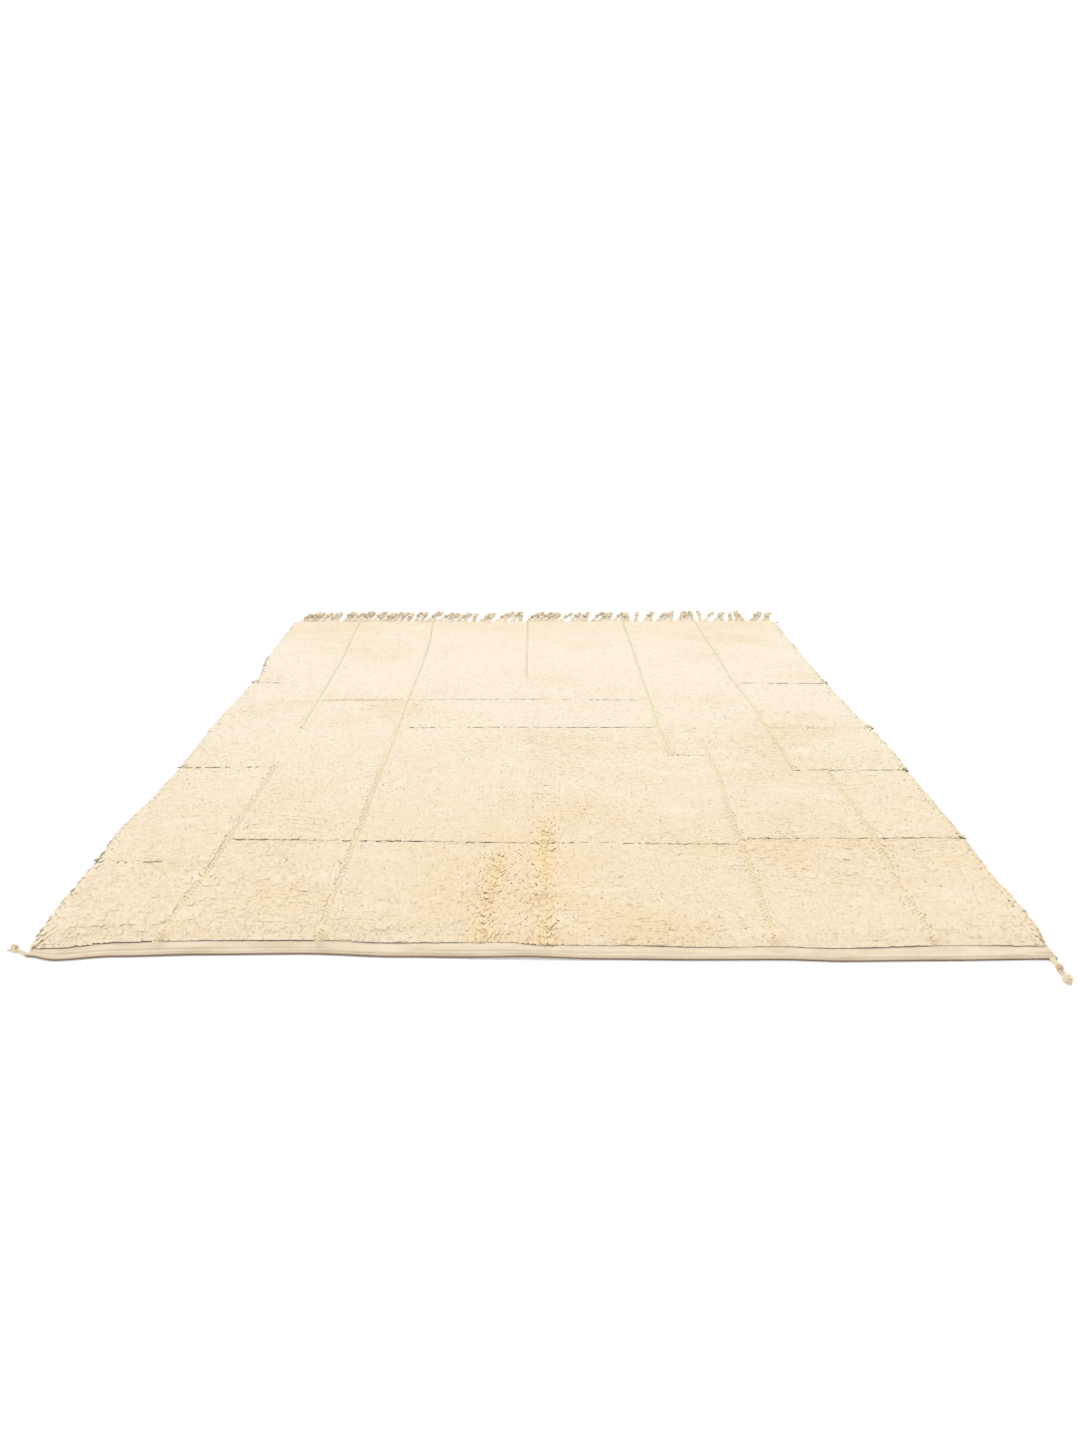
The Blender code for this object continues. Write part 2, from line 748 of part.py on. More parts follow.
def smooth_route(path: tuple[Point, ...]) -> list[Point]:
    """Points of a Catmull-Rom curve through the path, ROUTE_STEPS to each of its stretches."""
    ends = (path[0], *path, path[-1])
    found = []
    for before, low, high, after in zip(ends, ends[1:], ends[2:], ends[3:]):
        for step in range(ROUTE_STEPS):
            t = step / ROUTE_STEPS
            found.append(
                Point(
                    *(
                        0.5
                        * (
                            2.0 * b
                            + (c - a) * t
                            + (2.0 * a - 5.0 * b + 4.0 * c - d) * t**2
                            + (3.0 * b - a - 3.0 * c + d) * t**3
                        )
                        for a, b, c, d in zip(before, low, high, after)
                    )
                )
            )
    return [*found, path[-1]]


def build_corner_tassel(
    name: str,
    start: float,
    path: tuple[Point, ...],
    knots: tuple[float, ...],
    loose_ends: tuple[tuple[float, float], ...],
    material: bpy.types.Material,
) -> bpy.types.Object:
    """A plaited corner tassel that starts at the cord's end, with its knots and spreading loose ends."""
    mesh = bmesh.new()
    end = Point(start, near_line(start) + CORD_RADIUS)
    route = [Point(end.across + step.across, end.reach + step.reach) for step in smooth_route(path)]
    length = sum(math.dist(a, b) for a, b in zip(route, route[1:]))
    middles, radii, gone = [], [], 0.0
    for number, point in enumerate(route):
        gone += math.dist(route[max(number - 1, 0)], point)
        swell = sum(
            math.exp(-(((gone - knot * length) / KNOT_HALF_LENGTH) ** 2)) for knot in knots
        )
        radius = PLAIT_RADIUS * (1.0 + KNOT_SWELL * min(swell, 1.0))
        middles.append(to_world(*point, radius))
        radii.append(radius)
    tube(mesh, middles, radii, PLAIT_SIDES)
    made = finish(mesh, name, material)
    ahead = (middles[-1] - middles[-2]).normalized()
    for turn, reach in loose_ends:
        add_loose_end(made, middles[-1], ahead, math.radians(turn), reach)
    return made


def add_loose_end(
    tassel: bpy.types.Object, start: Vector, ahead: Vector, turn: float, length: float
) -> None:
    """Joins one four-sided strand to the tassel, lying level on the floor."""
    mesh = bmesh.new()
    direction = Vector(
        (
            ahead.x * math.cos(turn) - ahead.y * math.sin(turn),
            ahead.x * math.sin(turn) + ahead.y * math.cos(turn),
            0.0,
        )
    ).normalized()
    places = [start - direction * PLAIT_RADIUS, start + direction * length / 2.0, start + direction * length]
    middles = [lowered(place, END_RADIUS) for place in places]
    tube(mesh, middles, [END_RADIUS, END_RADIUS * END_MIDDLE_SHARE, END_RADIUS * END_TIP_SHARE], END_SIDES)
    strand = finish(mesh, tassel.name + "_strand", tassel.data.materials[0])
    strand.hide_render = True
    strand.display_type = "WIRE"
    join = tassel.modifiers.new("loose end", "BOOLEAN")
    join.operation = "UNION"
    join.solver = "EXACT"
    join.object = strand


def build_rug() -> None:
    """Clears the scene and builds every piece of the rug."""
    for old in list(bpy.data.objects):
        bpy.data.objects.remove(old, do_unlink=True)
    pile = make_material("pile_wool", PILE_COLOUR, PILE_ROUGHNESS)
    flat = make_material("flat_wool", FLAT_COLOUR, FLAT_ROUGHNESS)
    warp = make_material("warp_yarn", WARP_COLOUR, WARP_ROUGHNESS)
    places = foot_places(build_pile_cloth(PileGrid(), pile))
    build_heading(places, flat)
    build_edge_cord(places, flat)
    build_fringe(warp)
    build_corner_tassel("corner_tassel_right", places[-1], RIGHT_PLAIT, RIGHT_KNOTS, RIGHT_ENDS, warp)
    build_corner_tassel("corner_tassel_left", places[0], LEFT_PLAIT, LEFT_KNOTS, LEFT_ENDS, warp)


build_rug()
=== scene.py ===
"""The looks of a Beni Ourain rug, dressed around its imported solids.

Units are metres, +Z is up, and the heading lies towards -Y. In the tables, "across" runs along +X from the
rug's centre line, and "reach" along +Y from the heading's outer edge, as in the plan of the solids.
"""

import logging
import math
import random
from dataclasses import dataclass
from enum import Enum
from typing import NamedTuple, Sequence

import bmesh
import bpy
import numpy as np
from bmesh.types import BMesh
from mathutils import Matrix, Vector, noise
from numpy.typing import NDArray

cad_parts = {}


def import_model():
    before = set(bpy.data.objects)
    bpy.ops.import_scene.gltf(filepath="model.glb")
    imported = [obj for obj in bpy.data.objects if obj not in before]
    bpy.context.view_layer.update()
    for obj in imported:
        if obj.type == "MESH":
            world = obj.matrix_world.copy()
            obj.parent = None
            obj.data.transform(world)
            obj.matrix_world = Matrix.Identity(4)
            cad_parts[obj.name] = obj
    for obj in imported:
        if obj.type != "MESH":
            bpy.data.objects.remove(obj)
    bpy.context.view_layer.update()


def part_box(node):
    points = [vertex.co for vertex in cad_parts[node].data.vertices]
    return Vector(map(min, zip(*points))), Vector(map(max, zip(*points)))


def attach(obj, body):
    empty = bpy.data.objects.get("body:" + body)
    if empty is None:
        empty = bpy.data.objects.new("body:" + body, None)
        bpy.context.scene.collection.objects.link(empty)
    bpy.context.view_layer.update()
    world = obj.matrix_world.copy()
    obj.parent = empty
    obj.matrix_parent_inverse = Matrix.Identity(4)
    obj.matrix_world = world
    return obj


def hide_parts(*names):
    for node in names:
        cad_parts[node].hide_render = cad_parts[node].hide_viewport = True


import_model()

Array = NDArray[np.float64]
Colour = tuple[float, float, float]

logging.basicConfig(level=logging.INFO, format="%(message)s")
LOG = logging.getLogger("rug")

BODY = "root"
CLOTH_LENGTH = 3.10
HALF_WIDTH = 1.25
BEYOND = 2.0 * CLOTH_LENGTH
ACROSS = 0
REACH = 1
GAP = 0.0003
TURN = 2.0 * math.pi
UP = np.array([0.0, 0.0, 1.0])
PILE_BANDS = ("pile_near", "pile_middle_near", "pile_middle_far", "pile_far")


class Point(NamedTuple):
    """A place in the rug's plan."""

    across: float
    reach: float


def points(*rows: tuple[float, float]) -> tuple[Point, ...]:
    """The rows of a table as points of the plan."""
    return tuple(Point(*row) for row in rows)


def long_edge(side: float, *rows: tuple[float, float]) -> tuple[Point, ...]:
    """A long edge of the rug: each row is how far it is beyond the half width, to +X, and the reach there."""
    return points(*((side * HALF_WIDTH + shift, reach) for shift, reach in rows))


class Span(NamedTuple):
    """A stretch of a line along which the pile is sunk."""

    start: float
    end: float


class SunkKind(Enum):
    """How a line of the relief is made."""

    KNOTTED = "lengthwise, with bare knots on a flat floor"
    PARTED = "crosswise, with the farther pile leaning over it"


class SunkLine(NamedTuple):
    """A line of the relief: where it runs, where it is sunk, how softly it runs out, and how far it is open.

    In `openness` the first column is the place across and the second the share of the full depth there.
    """

    path: tuple[Point, ...]
    spans: tuple[Span, ...]
    fade: float = 0.02
    openness: tuple[Point, ...] = points((-HALF_WIDTH, 1.0), (HALF_WIDTH, 1.0))


class Crease(NamedTuple):
    """A fold mark where the tufts are parted: where it runs, and how strong it is along its reach.

    In `strength` the first column is the reach and the second the strength there.
    """

    path: tuple[Point, ...]
    strength: tuple[Point, ...]
    half_width: float


LENGTHWISE = {
    "left": SunkLine(
        points(
            *((-0.941, 0.06), (-0.912, 0.49), (-0.899, 1.17)),
            *((-0.886, 1.55), (-0.882, 2.30), (-0.902, CLOTH_LENGTH)),
        ),
        (Span(-BEYOND, 1.17), Span(1.55, BEYOND)),
    ),
    "middle_left": SunkLine(
        points((-0.544, 0.06), (-0.534, 0.80), (-0.521, 1.64), (-0.508, 2.57), (-0.525, CLOTH_LENGTH)),
        (Span(-BEYOND, BEYOND),),
    ),
    "centre": SunkLine(points((-0.040, 0.06), (-0.042, CLOTH_LENGTH)), (Span(2.18, BEYOND),), 0.03),
    "middle_right_far": SunkLine(
        points((0.470, 0.06), (0.475, 1.27), (0.461, 1.55), (0.456, 2.30), (0.448, CLOTH_LENGTH)),
        (Span(1.27, BEYOND),),
    ),
    "middle_right_near": SunkLine(
        points(
            *((0.582, 0.06), (0.590, 0.40), (0.593, 0.70)),
            *((0.613, 1.10), (0.606, 1.27), (0.606, CLOTH_LENGTH)),
        ),
        (Span(-BEYOND, 1.27),),
    ),
    "right_far": SunkLine(
        points((0.845, 0.06), (0.872, 1.13), (0.865, 1.65), (0.836, 2.20), (0.820, CLOTH_LENGTH)),
        (Span(1.13, BEYOND),),
    ),
    "right_near": SunkLine(
        points((0.974, 0.06), (0.972, 0.30), (0.995, 0.70), (0.986, 1.13), (0.986, CLOTH_LENGTH)),
        (Span(-BEYOND, 1.13),),
    ),
}

CROSSWISE = {
    "first": SunkLine(
        points((-HALF_WIDTH, 0.487), (HALF_WIDTH, 0.450)),
        (Span(-BEYOND, -1.10),),
        0.12,
        points((-HALF_WIDTH, 0.30), (HALF_WIDTH, 0.30)),
    ),
    "second": SunkLine(
        points(
            *((-0.90, 0.623), (-0.53, 0.613), (0.0, 0.597)),
            *((0.58, 0.583), (0.62, 0.618), (HALF_WIDTH, 0.618)),
        ),
        (Span(-0.90, BEYOND),),
        openness=points(
            *((-0.90, 0.55), (-0.70, 0.80), (-0.53, 0.50), (-0.42, 0.85), (-0.24, 0.85), (-0.12, 0.25)),
            *((-0.02, 0.80), (0.06, 0.65), (0.14, 0.14), (0.26, 0.16), (0.44, 0.60), (0.58, 0.60)),
            *((0.70, 1.00), (0.84, 0.45), (1.00, 0.90), (1.20, 0.95)),
        ),
    ),
    "third": SunkLine(
        points((-HALF_WIDTH, 1.170), (-0.90, 1.170), (0.87, 1.130), (HALF_WIDTH, 1.130)),
        (Span(-BEYOND, -0.899), Span(0.872, BEYOND)),
        openness=points((-1.20, 0.45), (-0.90, 0.40), (0.92, 0.45), (1.00, 0.75), (1.08, 0.40), (1.16, 0.75)),
    ),
    "step": SunkLine(
        points((-HALF_WIDTH, 1.29), (HALF_WIDTH, 1.262)),
        (Span(0.475, 0.606),),
        openness=points((-HALF_WIDTH, 0.55), (HALF_WIDTH, 0.55)),
    ),
    "fourth": SunkLine(
        points((-0.52, 1.554), (0.46, 1.548), (0.87, 1.535), (HALF_WIDTH, 1.535)),
        (Span(-0.521, 0.461), Span(0.868, BEYOND)),
        openness=points(
            *((-0.52, 0.30), (-0.44, 0.70), (-0.30, 0.30), (0.00, 0.25), (0.30, 0.80), (0.46, 0.35)),
            *((0.92, 0.60), (1.02, 0.20), (1.20, 0.28)),
        ),
    ),
    "fifth": SunkLine(
        points((-0.88, 1.868), (-0.04, 1.875), (0.46, 1.860)),
        (Span(-0.885, 0.459),),
        openness=points(
            *((-0.88, 0.65), (-0.68, 0.80), (-0.50, 0.35), (-0.20, 0.20), (0.10, 0.35), (0.40, 0.25)),
        ),
    ),
    "sixth": SunkLine(
        points((-HALF_WIDTH, 2.104), (-1.03, 2.092), (0.85, 2.075), (HALF_WIDTH, 2.073)),
        (Span(-BEYOND, -1.08), Span(0.84, BEYOND)),
        0.08,
        points((-1.20, 0.45), (0.84, 0.20), (1.00, 0.40), (1.16, 0.60), (1.24, 0.30)),
    ),
}

LEFT_EDGE = long_edge(
    -1.0,
    *((0.006, 0.05), (-0.004, 0.25), (-0.002, 0.45), (-0.009, 0.69), (0.012, 1.02)),
    *((0.020, 1.17), (0.016, 1.60), (0.041, 2.21), (0.013, 2.51), (0.009, CLOTH_LENGTH)),
)
RIGHT_EDGE = long_edge(
    1.0,
    *((-0.001, 0.05), (0.012, 0.23), (0.006, 0.40), (0.015, 0.70), (0.017, 1.13), (0.025, 1.32)),
    *((0.021, 1.52), (0.001, 1.75), (-0.011, 2.07), (-0.015, 2.50), (-0.015, CLOTH_LENGTH)),
)
NEAR_EDGE = points(
    *((-1.240, 0.027), (-1.170, 0.010), (-1.035, 0.025), (-0.815, 0.032), (-0.580, 0.034), (-0.330, 0.019)),
    *((-0.070, 0.012), (0.150, 0.006), (0.400, 0.001), (0.580, 0.001), (0.740, -0.007), (0.960, -0.005)),
    (1.240, -0.001),
)
HEADING_END = points(
    *((-1.240, 0.0620), (-1.190, 0.0655), (-1.035, 0.0915), (-0.815, 0.0985), (-0.520, 0.0965)),
    *((-0.370, 0.0835), (-0.080, 0.0855), (0.010, 0.0715), (0.220, 0.0695), (0.400, 0.0590)),
    *((0.560, 0.0620), (0.740, 0.0530), (1.040, 0.0635), (1.240, 0.0590)),
)
FAR_EDGE = points((-HALF_WIDTH, CLOTH_LENGTH), (0.0, CLOTH_LENGTH - 0.006), (HALF_WIDTH, CLOTH_LENGTH))

CREASES = (
    Crease(
        points((0.015, 0.05), (0.016, 0.18), (0.020, 0.51), (0.024, 0.88), (0.031, 1.50)),
        points(
            *((0.05, 0.75), (0.30, 0.60), (0.55, 1.00), (0.66, 0.80)),
            *((0.80, 0.40), (1.20, 0.20), (1.75, 0.00)),
        ),
        0.045,
    ),
    Crease(
        points((-0.139, 0.09), (-0.129, 0.29), (-0.109, 0.51)),
        points((0.05, 0.8), (0.20, 0.55), (0.45, 0.9), (0.62, 0.0)),
        0.040,
    ),
    Crease(
        points((-0.080, 0.81), (-0.086, 1.17)),
        points((0.70, 0.0), (0.85, 0.35), (1.15, 0.20), (1.25, 0.0)),
        0.035,
    ),
)


def eased(path: Sequence[Point], axis: int, at: Array) -> Array:
    """Follows a path of the plan, eased through its points.

    Args:
        path: the path's points, in order.
        axis: which coordinate `at` is, ACROSS or REACH.
        at: the values of that coordinate.

    Returns:
        The other coordinate there.
    """
    keys = np.array([point[axis] for point in path])
    values = np.array([point[1 - axis] for point in path])
    at = np.clip(at, keys[0], keys[-1])
    low = np.clip(np.searchsorted(keys, at, side="right") - 1, 0, len(keys) - 2)
    share = smooth((at - keys[low]) / (keys[low + 1] - keys[low]))
    return values[low] + (values[low + 1] - values[low]) * share


def smooth(share: Array) -> Array:
    """The share from 0 to 1, eased at both ends."""
    share = np.clip(share, 0.0, 1.0)
    return share * share * (3.0 - 2.0 * share)


def ramp(start: float, end: float, value: Array) -> Array:
    """How far the value has gone from start to end, eased, from 0 to 1."""
    return smooth((value - start) / (end - start))


def grain(across: Array, reach: Array, per_across: float, per_reach: float, layer: float) -> Array:
    """Smooth noise over the plan.

    Args:
        across: places across the rug.
        reach: places along it.
        per_across: how many lumps there are in a metre across.
        per_reach: how many there are in a metre along.
        layer: which of many unlike noises.

    Returns:
        The noise, from about -1 to 1.
    """
    places = zip((across * per_across).ravel(), (reach * per_reach).ravel())
    found = [noise.noise(Vector((x, y, layer))) for x, y in places]
    return np.array(found).reshape(np.shape(across))


@dataclass(frozen=True)
class PilePlan:
    """The shape of the pile over the rug's plan.

    The heights are those of the tufts' tops. The floor of a sunk line is the ground cloth with bare knots.
    """

    top: float = 0.0262
    floor: float = 0.0226
    far_floor: float = 0.0249
    rim_height: float = 0.0084
    rim_sag: float = 0.0015
    rim_depth: float = 0.022
    near_slope: float = 0.062
    overhang: float = 0.004
    lump: float = 0.0016
    lump_per_metre: float = 6.0
    knotted_floor: float = 0.004
    knotted_lip: float = 0.0080
    knotted_shoulder: float = 0.020
    knotted_drop: float = 0.0012
    parted_near: float = 0.013
    parted_wall: float = 0.008
    parted_shoulder: float = 0.045
    parted_far: float = 0.004
    parted_drop: float = 0.0042
    shoulder_drop: float = 0.0015
    crease_drop: float = 0.003
    open_share: float = 0.65
    ragged: float = 0.36
    shallower: tuple[float, float] = (0.8, 2.0)
    warm_centre: float = -0.06
    warm_half_width: float = 0.26
    warm_until: tuple[float, float] = (0.45, 1.0)

    def near_rim(self, across: Array) -> Array:
        """Reach of the pile's near rim, which hangs over the heading."""
        return eased(HEADING_END, ACROSS, across) - self.overhang

    def far_rim(self, across: Array) -> Array:
        """Reach of the pile's far rim, which hangs over the fringe's strip."""
        return eased(FAR_EDGE, ACROSS, across) + self.overhang

    def rims(self, across: Array) -> tuple[Array, Array]:
        """Reach of the near rim and of the far one."""
        return self.near_rim(across), self.far_rim(across)

    def long_edges(self, reach: Array) -> tuple[Array, Array]:
        """Where the left edge is across the rug, and the right one."""
        return eased(LEFT_EDGE, REACH, reach), eased(RIGHT_EDGE, REACH, reach)

    def presence(self, line: SunkLine, at: Array) -> Array:
        """How much of a sunk line there is at a distance along it, from 0 to 1."""
        found = np.zeros_like(at)
        for span in line.spans:
            begun = ramp(span.start - line.fade, span.start, at)
            found = np.maximum(found, begun * (1.0 - ramp(span.end, span.end + line.fade, at)))
        return found

    def sunk_lines(self, across: Array, reach: Array) -> list[tuple[SunkKind, Array, Array]]:
        """Every sunk line as seen from places in the plan.

        Args:
            across: places across the rug.
            reach: places along it.

        Returns:
            The kind of each line, how far beyond it the places are, and how much of the line is there.
        """
        found = []
        for line in LENGTHWISE.values():
            away = across - eased(line.path, REACH, reach)
            found.append((SunkKind.KNOTTED, away, self.presence(line, reach)))
        for number, line in enumerate(CROSSWISE.values()):
            away = reach - eased(line.path, ACROSS, across)
            ragged = 1.0 + self.ragged * grain(across, np.full_like(across, number), 28.0, 7.3, 21.5)
            opened = self.open_share * eased(line.openness, ACROSS, across) * ragged
            found.append((SunkKind.PARTED, away, self.presence(line, across) * np.clip(opened, 0.0, 1.0)))
        return found

    def crease(self, across: Array, reach: Array) -> tuple[Array, Array]:
        """How strongly the pile is creased, and on which side of the crease's middle a place is."""
        most = np.zeros_like(across)
        side = np.zeros_like(across)
        for mark in CREASES:
            away = (across - eased(mark.path, REACH, reach)) / mark.half_width
            strength = eased(mark.strength, 0, reach) * np.exp(-(away**2))
            side = np.where(strength > most, np.tanh(2.0 * away), side)
            most = np.maximum(most, strength)
        return most, side

    def height(self, across: Array, reach: Array) -> Array:
        """How high the tops of the tufts stand, and the floor where there are none."""
        top = self.top + self.lump * grain(across, reach, self.lump_per_metre, self.lump_per_metre, 0.5)
        top = top - self.crease_drop * self.crease(across, reach)[0]
        sunk = np.zeros_like(top)
        parted = np.zeros_like(top)
        for kind, away, there in self.sunk_lines(across, reach):
            if kind is SunkKind.KNOTTED:
                wall = 1.0 - ramp(self.knotted_floor, self.knotted_lip, np.abs(away))
                shoulder = 1.0 - ramp(self.knotted_lip, self.knotted_shoulder, np.abs(away))
                sunk = np.maximum(sunk, wall * there)
                top = top - self.knotted_drop * shoulder * there
            else:
                near = 1.0 - ramp(-self.parted_near, -self.parted_near - self.parted_wall, away)
                far = 1.0 - ramp(0.0, self.parted_far, away)
                slope = 1.0 - ramp(self.parted_near, self.parted_shoulder, -away)
                shoulder = np.where(away < 0.0, slope, far)
                parted = np.maximum(parted, np.minimum(near, far) * there)
                top = top - self.shoulder_drop * shoulder * there
        floor = self.knot_floor(reach)
        standing = floor + (top - floor) * (1.0 - sunk) - self.parted_drop * parted * (1.0 - sunk)
        front, *others = self.sides(across, reach)
        inward = np.minimum.reduce(others)
        fall = np.sqrt(np.clip(1.0 - (1.0 - np.clip(inward / self.rim_depth, 0.0, 1.0)) ** 2, 0.0, 1.0))
        fall = np.minimum(fall, 1.0 - (1.0 - np.clip(front / self.near_slope, 0.0, 1.0)) ** 2)
        sag = np.clip(0.5 + 1.5 * grain(across, reach, 6.0, 1.0, 17.5), 0.0, 1.0)
        rim = self.rim_height - self.rim_sag * sag
        return rim + (standing - rim) * fall

    def knot_floor(self, reach: Array) -> Array:
        """How high the floor of the lengthwise lines is: they are shallower towards the far end."""
        return self.floor + (self.far_floor - self.floor) * self.shallowness(reach)

    def shallowness(self, reach: Array) -> Array:
        """How shallow the lengthwise lines have become, from 0 near to 1 far away."""
        return ramp(*self.shallower, reach)

    def sides(self, across: Array, reach: Array) -> tuple[Array, Array, Array, Array]:
        """How far a place is from the near rim, the far one, the left one and the right one."""
        left, right = self.long_edges(reach)
        return reach - self.near_rim(across), self.far_rim(across) - reach, across - left, right - across

    def inward(self, across: Array, reach: Array) -> Array:
        """How far inside the pile's outline a place is."""
        return np.minimum.reduce(self.sides(across, reach))

    def warmth(self, across: Array, reach: Array) -> Array:
        """How yellow the wool is: most round the creases, near the heading."""
        beside = np.exp(-(((across - self.warm_centre) / self.warm_half_width) ** 2))
        return beside * (1.0 - ramp(*self.warm_until, reach))

    def beside_knots(self, across: Array, reach: Array, full: float, none: float) -> Array:
        """How near a lengthwise line a place is: 1 within `full` of it, 0 beyond `none`."""
        most = np.zeros_like(across)
        for kind, away, there in self.sunk_lines(across, reach):
            if kind is SunkKind.KNOTTED:
                most = np.maximum(most, there * (1.0 - ramp(full, none, np.abs(away))))
        return most


class Wire:
    """A shader socket that takes part in Python's own arithmetic."""

    def __init__(self, bench: "NodeBench", socket: bpy.types.NodeSocket) -> None:
        """Wraps a socket of the bench's material."""
        self.bench = bench
        self.socket = socket

    def math(self, operation: str, *values: object) -> "Wire":
        """The result of a Math node on these values."""
        return self.bench.node("ShaderNodeMath", {"operation": operation}, dict(enumerate(values)))

    def __add__(self, other: object) -> "Wire":
        """This plus the other."""
        return self.math("ADD", self, other)

    __radd__ = __add__

    def __sub__(self, other: object) -> "Wire":
        """This less the other."""
        return self.math("SUBTRACT", self, other)

    def __rsub__(self, other: object) -> "Wire":
        """The other less this."""
        return self.math("SUBTRACT", other, self)

    def __mul__(self, other: object) -> "Wire":
        """This times the other."""
        return self.math("MULTIPLY", self, other)

    __rmul__ = __mul__

    def clamped(self, low: float, high: float) -> "Wire":
        """How far this has gone from low to high, from 0 to 1."""
        settings = {"clamp": True, "interpolation_type": "SMOOTHSTEP"}
        values = {"Value": self, "From Min": low, "From Max": high}
        return self.bench.node("ShaderNodeMapRange", settings, values)


class NodeBench:
    """Makes and links the nodes of one material."""

    def __init__(self, name: str) -> None:
        """Starts a material with a Principled node and its output."""
        self.material = bpy.data.materials.new(name)
        self.material.use_nodes = True
        self.tree = self.material.node_tree
        self.shader = self.tree.nodes["Principled BSDF"]

    def node(
        self, kind: str, settings: dict[str, object], values: dict[object, object], output: object = 0
    ) -> Wire:
        """Adds a node.

        Args:
            kind: the node's type.
            settings: its own settings, which are set first.
            values: for each input, by name or number, a number, a colour or a wire.
            output: which output is wanted, by name or number.

        Returns:
            That output.
        """
        made = self.tree.nodes.new(kind)
        for name, value in settings.items():
            setattr(made, name, value)
        for key, value in values.items():
            if isinstance(value, Wire):
                self.tree.links.new(value.socket, made.inputs[key])
            else:
                made.inputs[key].default_value = value
        return Wire(self, made.outputs[output])

    def place(self) -> Wire:
        """The place on the object, in metres."""
        return self.node("ShaderNodeTexCoord", {}, {}, "Object")

    def mark(self, name: str) -> Wire:
        """A number that the mesh holds at its points, by its name."""
        return self.node("ShaderNodeAttribute", {"attribute_name": name}, {}, "Fac")

    def noise(self, per_metre: tuple[float, float, float], detail: float = 2.0, rough: float = 0.5) -> Wire:
        """Noise with this many lumps to the metre along each axis, about 0.5."""
        scaled = self.node("ShaderNodeMapping", {}, {"Vector": self.place(), "Scale": per_metre})
        values = {"Vector": scaled, "Scale": 1.0, "Detail": detail, "Roughness": rough}
        return self.node("ShaderNodeTexNoise", {}, values, "Fac")

    def fibre_noise(self, per_metre: tuple[float, float, float], shift: Wire) -> Wire:
        """Noise along each tuft's own fibres, unlike from tuft to tuft through the shift, about 0.5."""
        own = self.node("ShaderNodeAttribute", {"attribute_name": "fibre"}, {}, "Vector")
        scaled = self.node("ShaderNodeVectorMath", {"operation": "MULTIPLY"}, {0: own, 1: per_metre})
        values = {"Vector": scaled, "W": shift, "Scale": 1.0, "Detail": 2.0, "Roughness": 0.6}
        return self.node("ShaderNodeTexNoise", {"noise_dimensions": "4D"}, values, "Fac")

    def mix(self, share: object, low: object, high: object) -> Wire:
        """A colour that goes from low to high with the share."""
        low = low if isinstance(low, Wire) else (*low, 1.0)
        high = high if isinstance(high, Wire) else (*high, 1.0)
        factor, first, second, result = 0, 6, 7, 2
        values = {factor: share, first: low, second: high}
        return self.node("ShaderNodeMix", {"data_type": "RGBA"}, values, result)

    def drive(self, name: str, value: Wire) -> None:
        """Feeds an input of the shader."""
        self.tree.links.new(value.socket, self.shader.inputs[name])

    def fix(self, **values: float) -> None:
        """Sets inputs of the shader that are the same all over; a name's spaces are written as _."""
        for name, value in values.items():
            self.shader.inputs[name.replace("_", " ")].default_value = value

    def bump(self, height: Wire, strength: float, distance: float) -> None:
        """Makes the surface rough to the light by this height, in shares of the distance."""
        values = {"Height": height, "Strength": strength, "Distance": distance}
        self.drive("Normal", self.node("ShaderNodeBump", {}, values, "Normal"))

    def finish(
        self, colour: Wire, fibre: Wire, rough: tuple[float, float], depth: float, sheen: float, shine: float
    ) -> bpy.types.Material:
        """Feeds the shader a matt, fibrous surface.

        Args:
            colour: the base colour.
            fibre: the noise of the fibres, about 0.5.
            rough: the least roughness, and how much the fibres add to it.
            depth: how deep the fibres are.
            sheen: the weight of the sheen.
            shine: the level of the mirror-like light.

        Returns:
            The material.
        """
        self.drive("Base Color", colour)
        self.drive("Roughness", rough[0] + rough[1] * fibre)
        self.bump(fibre, 0.5, depth)
        self.fix(Sheen_Weight=sheen, Sheen_Roughness=0.5, Specular_IOR_Level=shine)
        return self.material


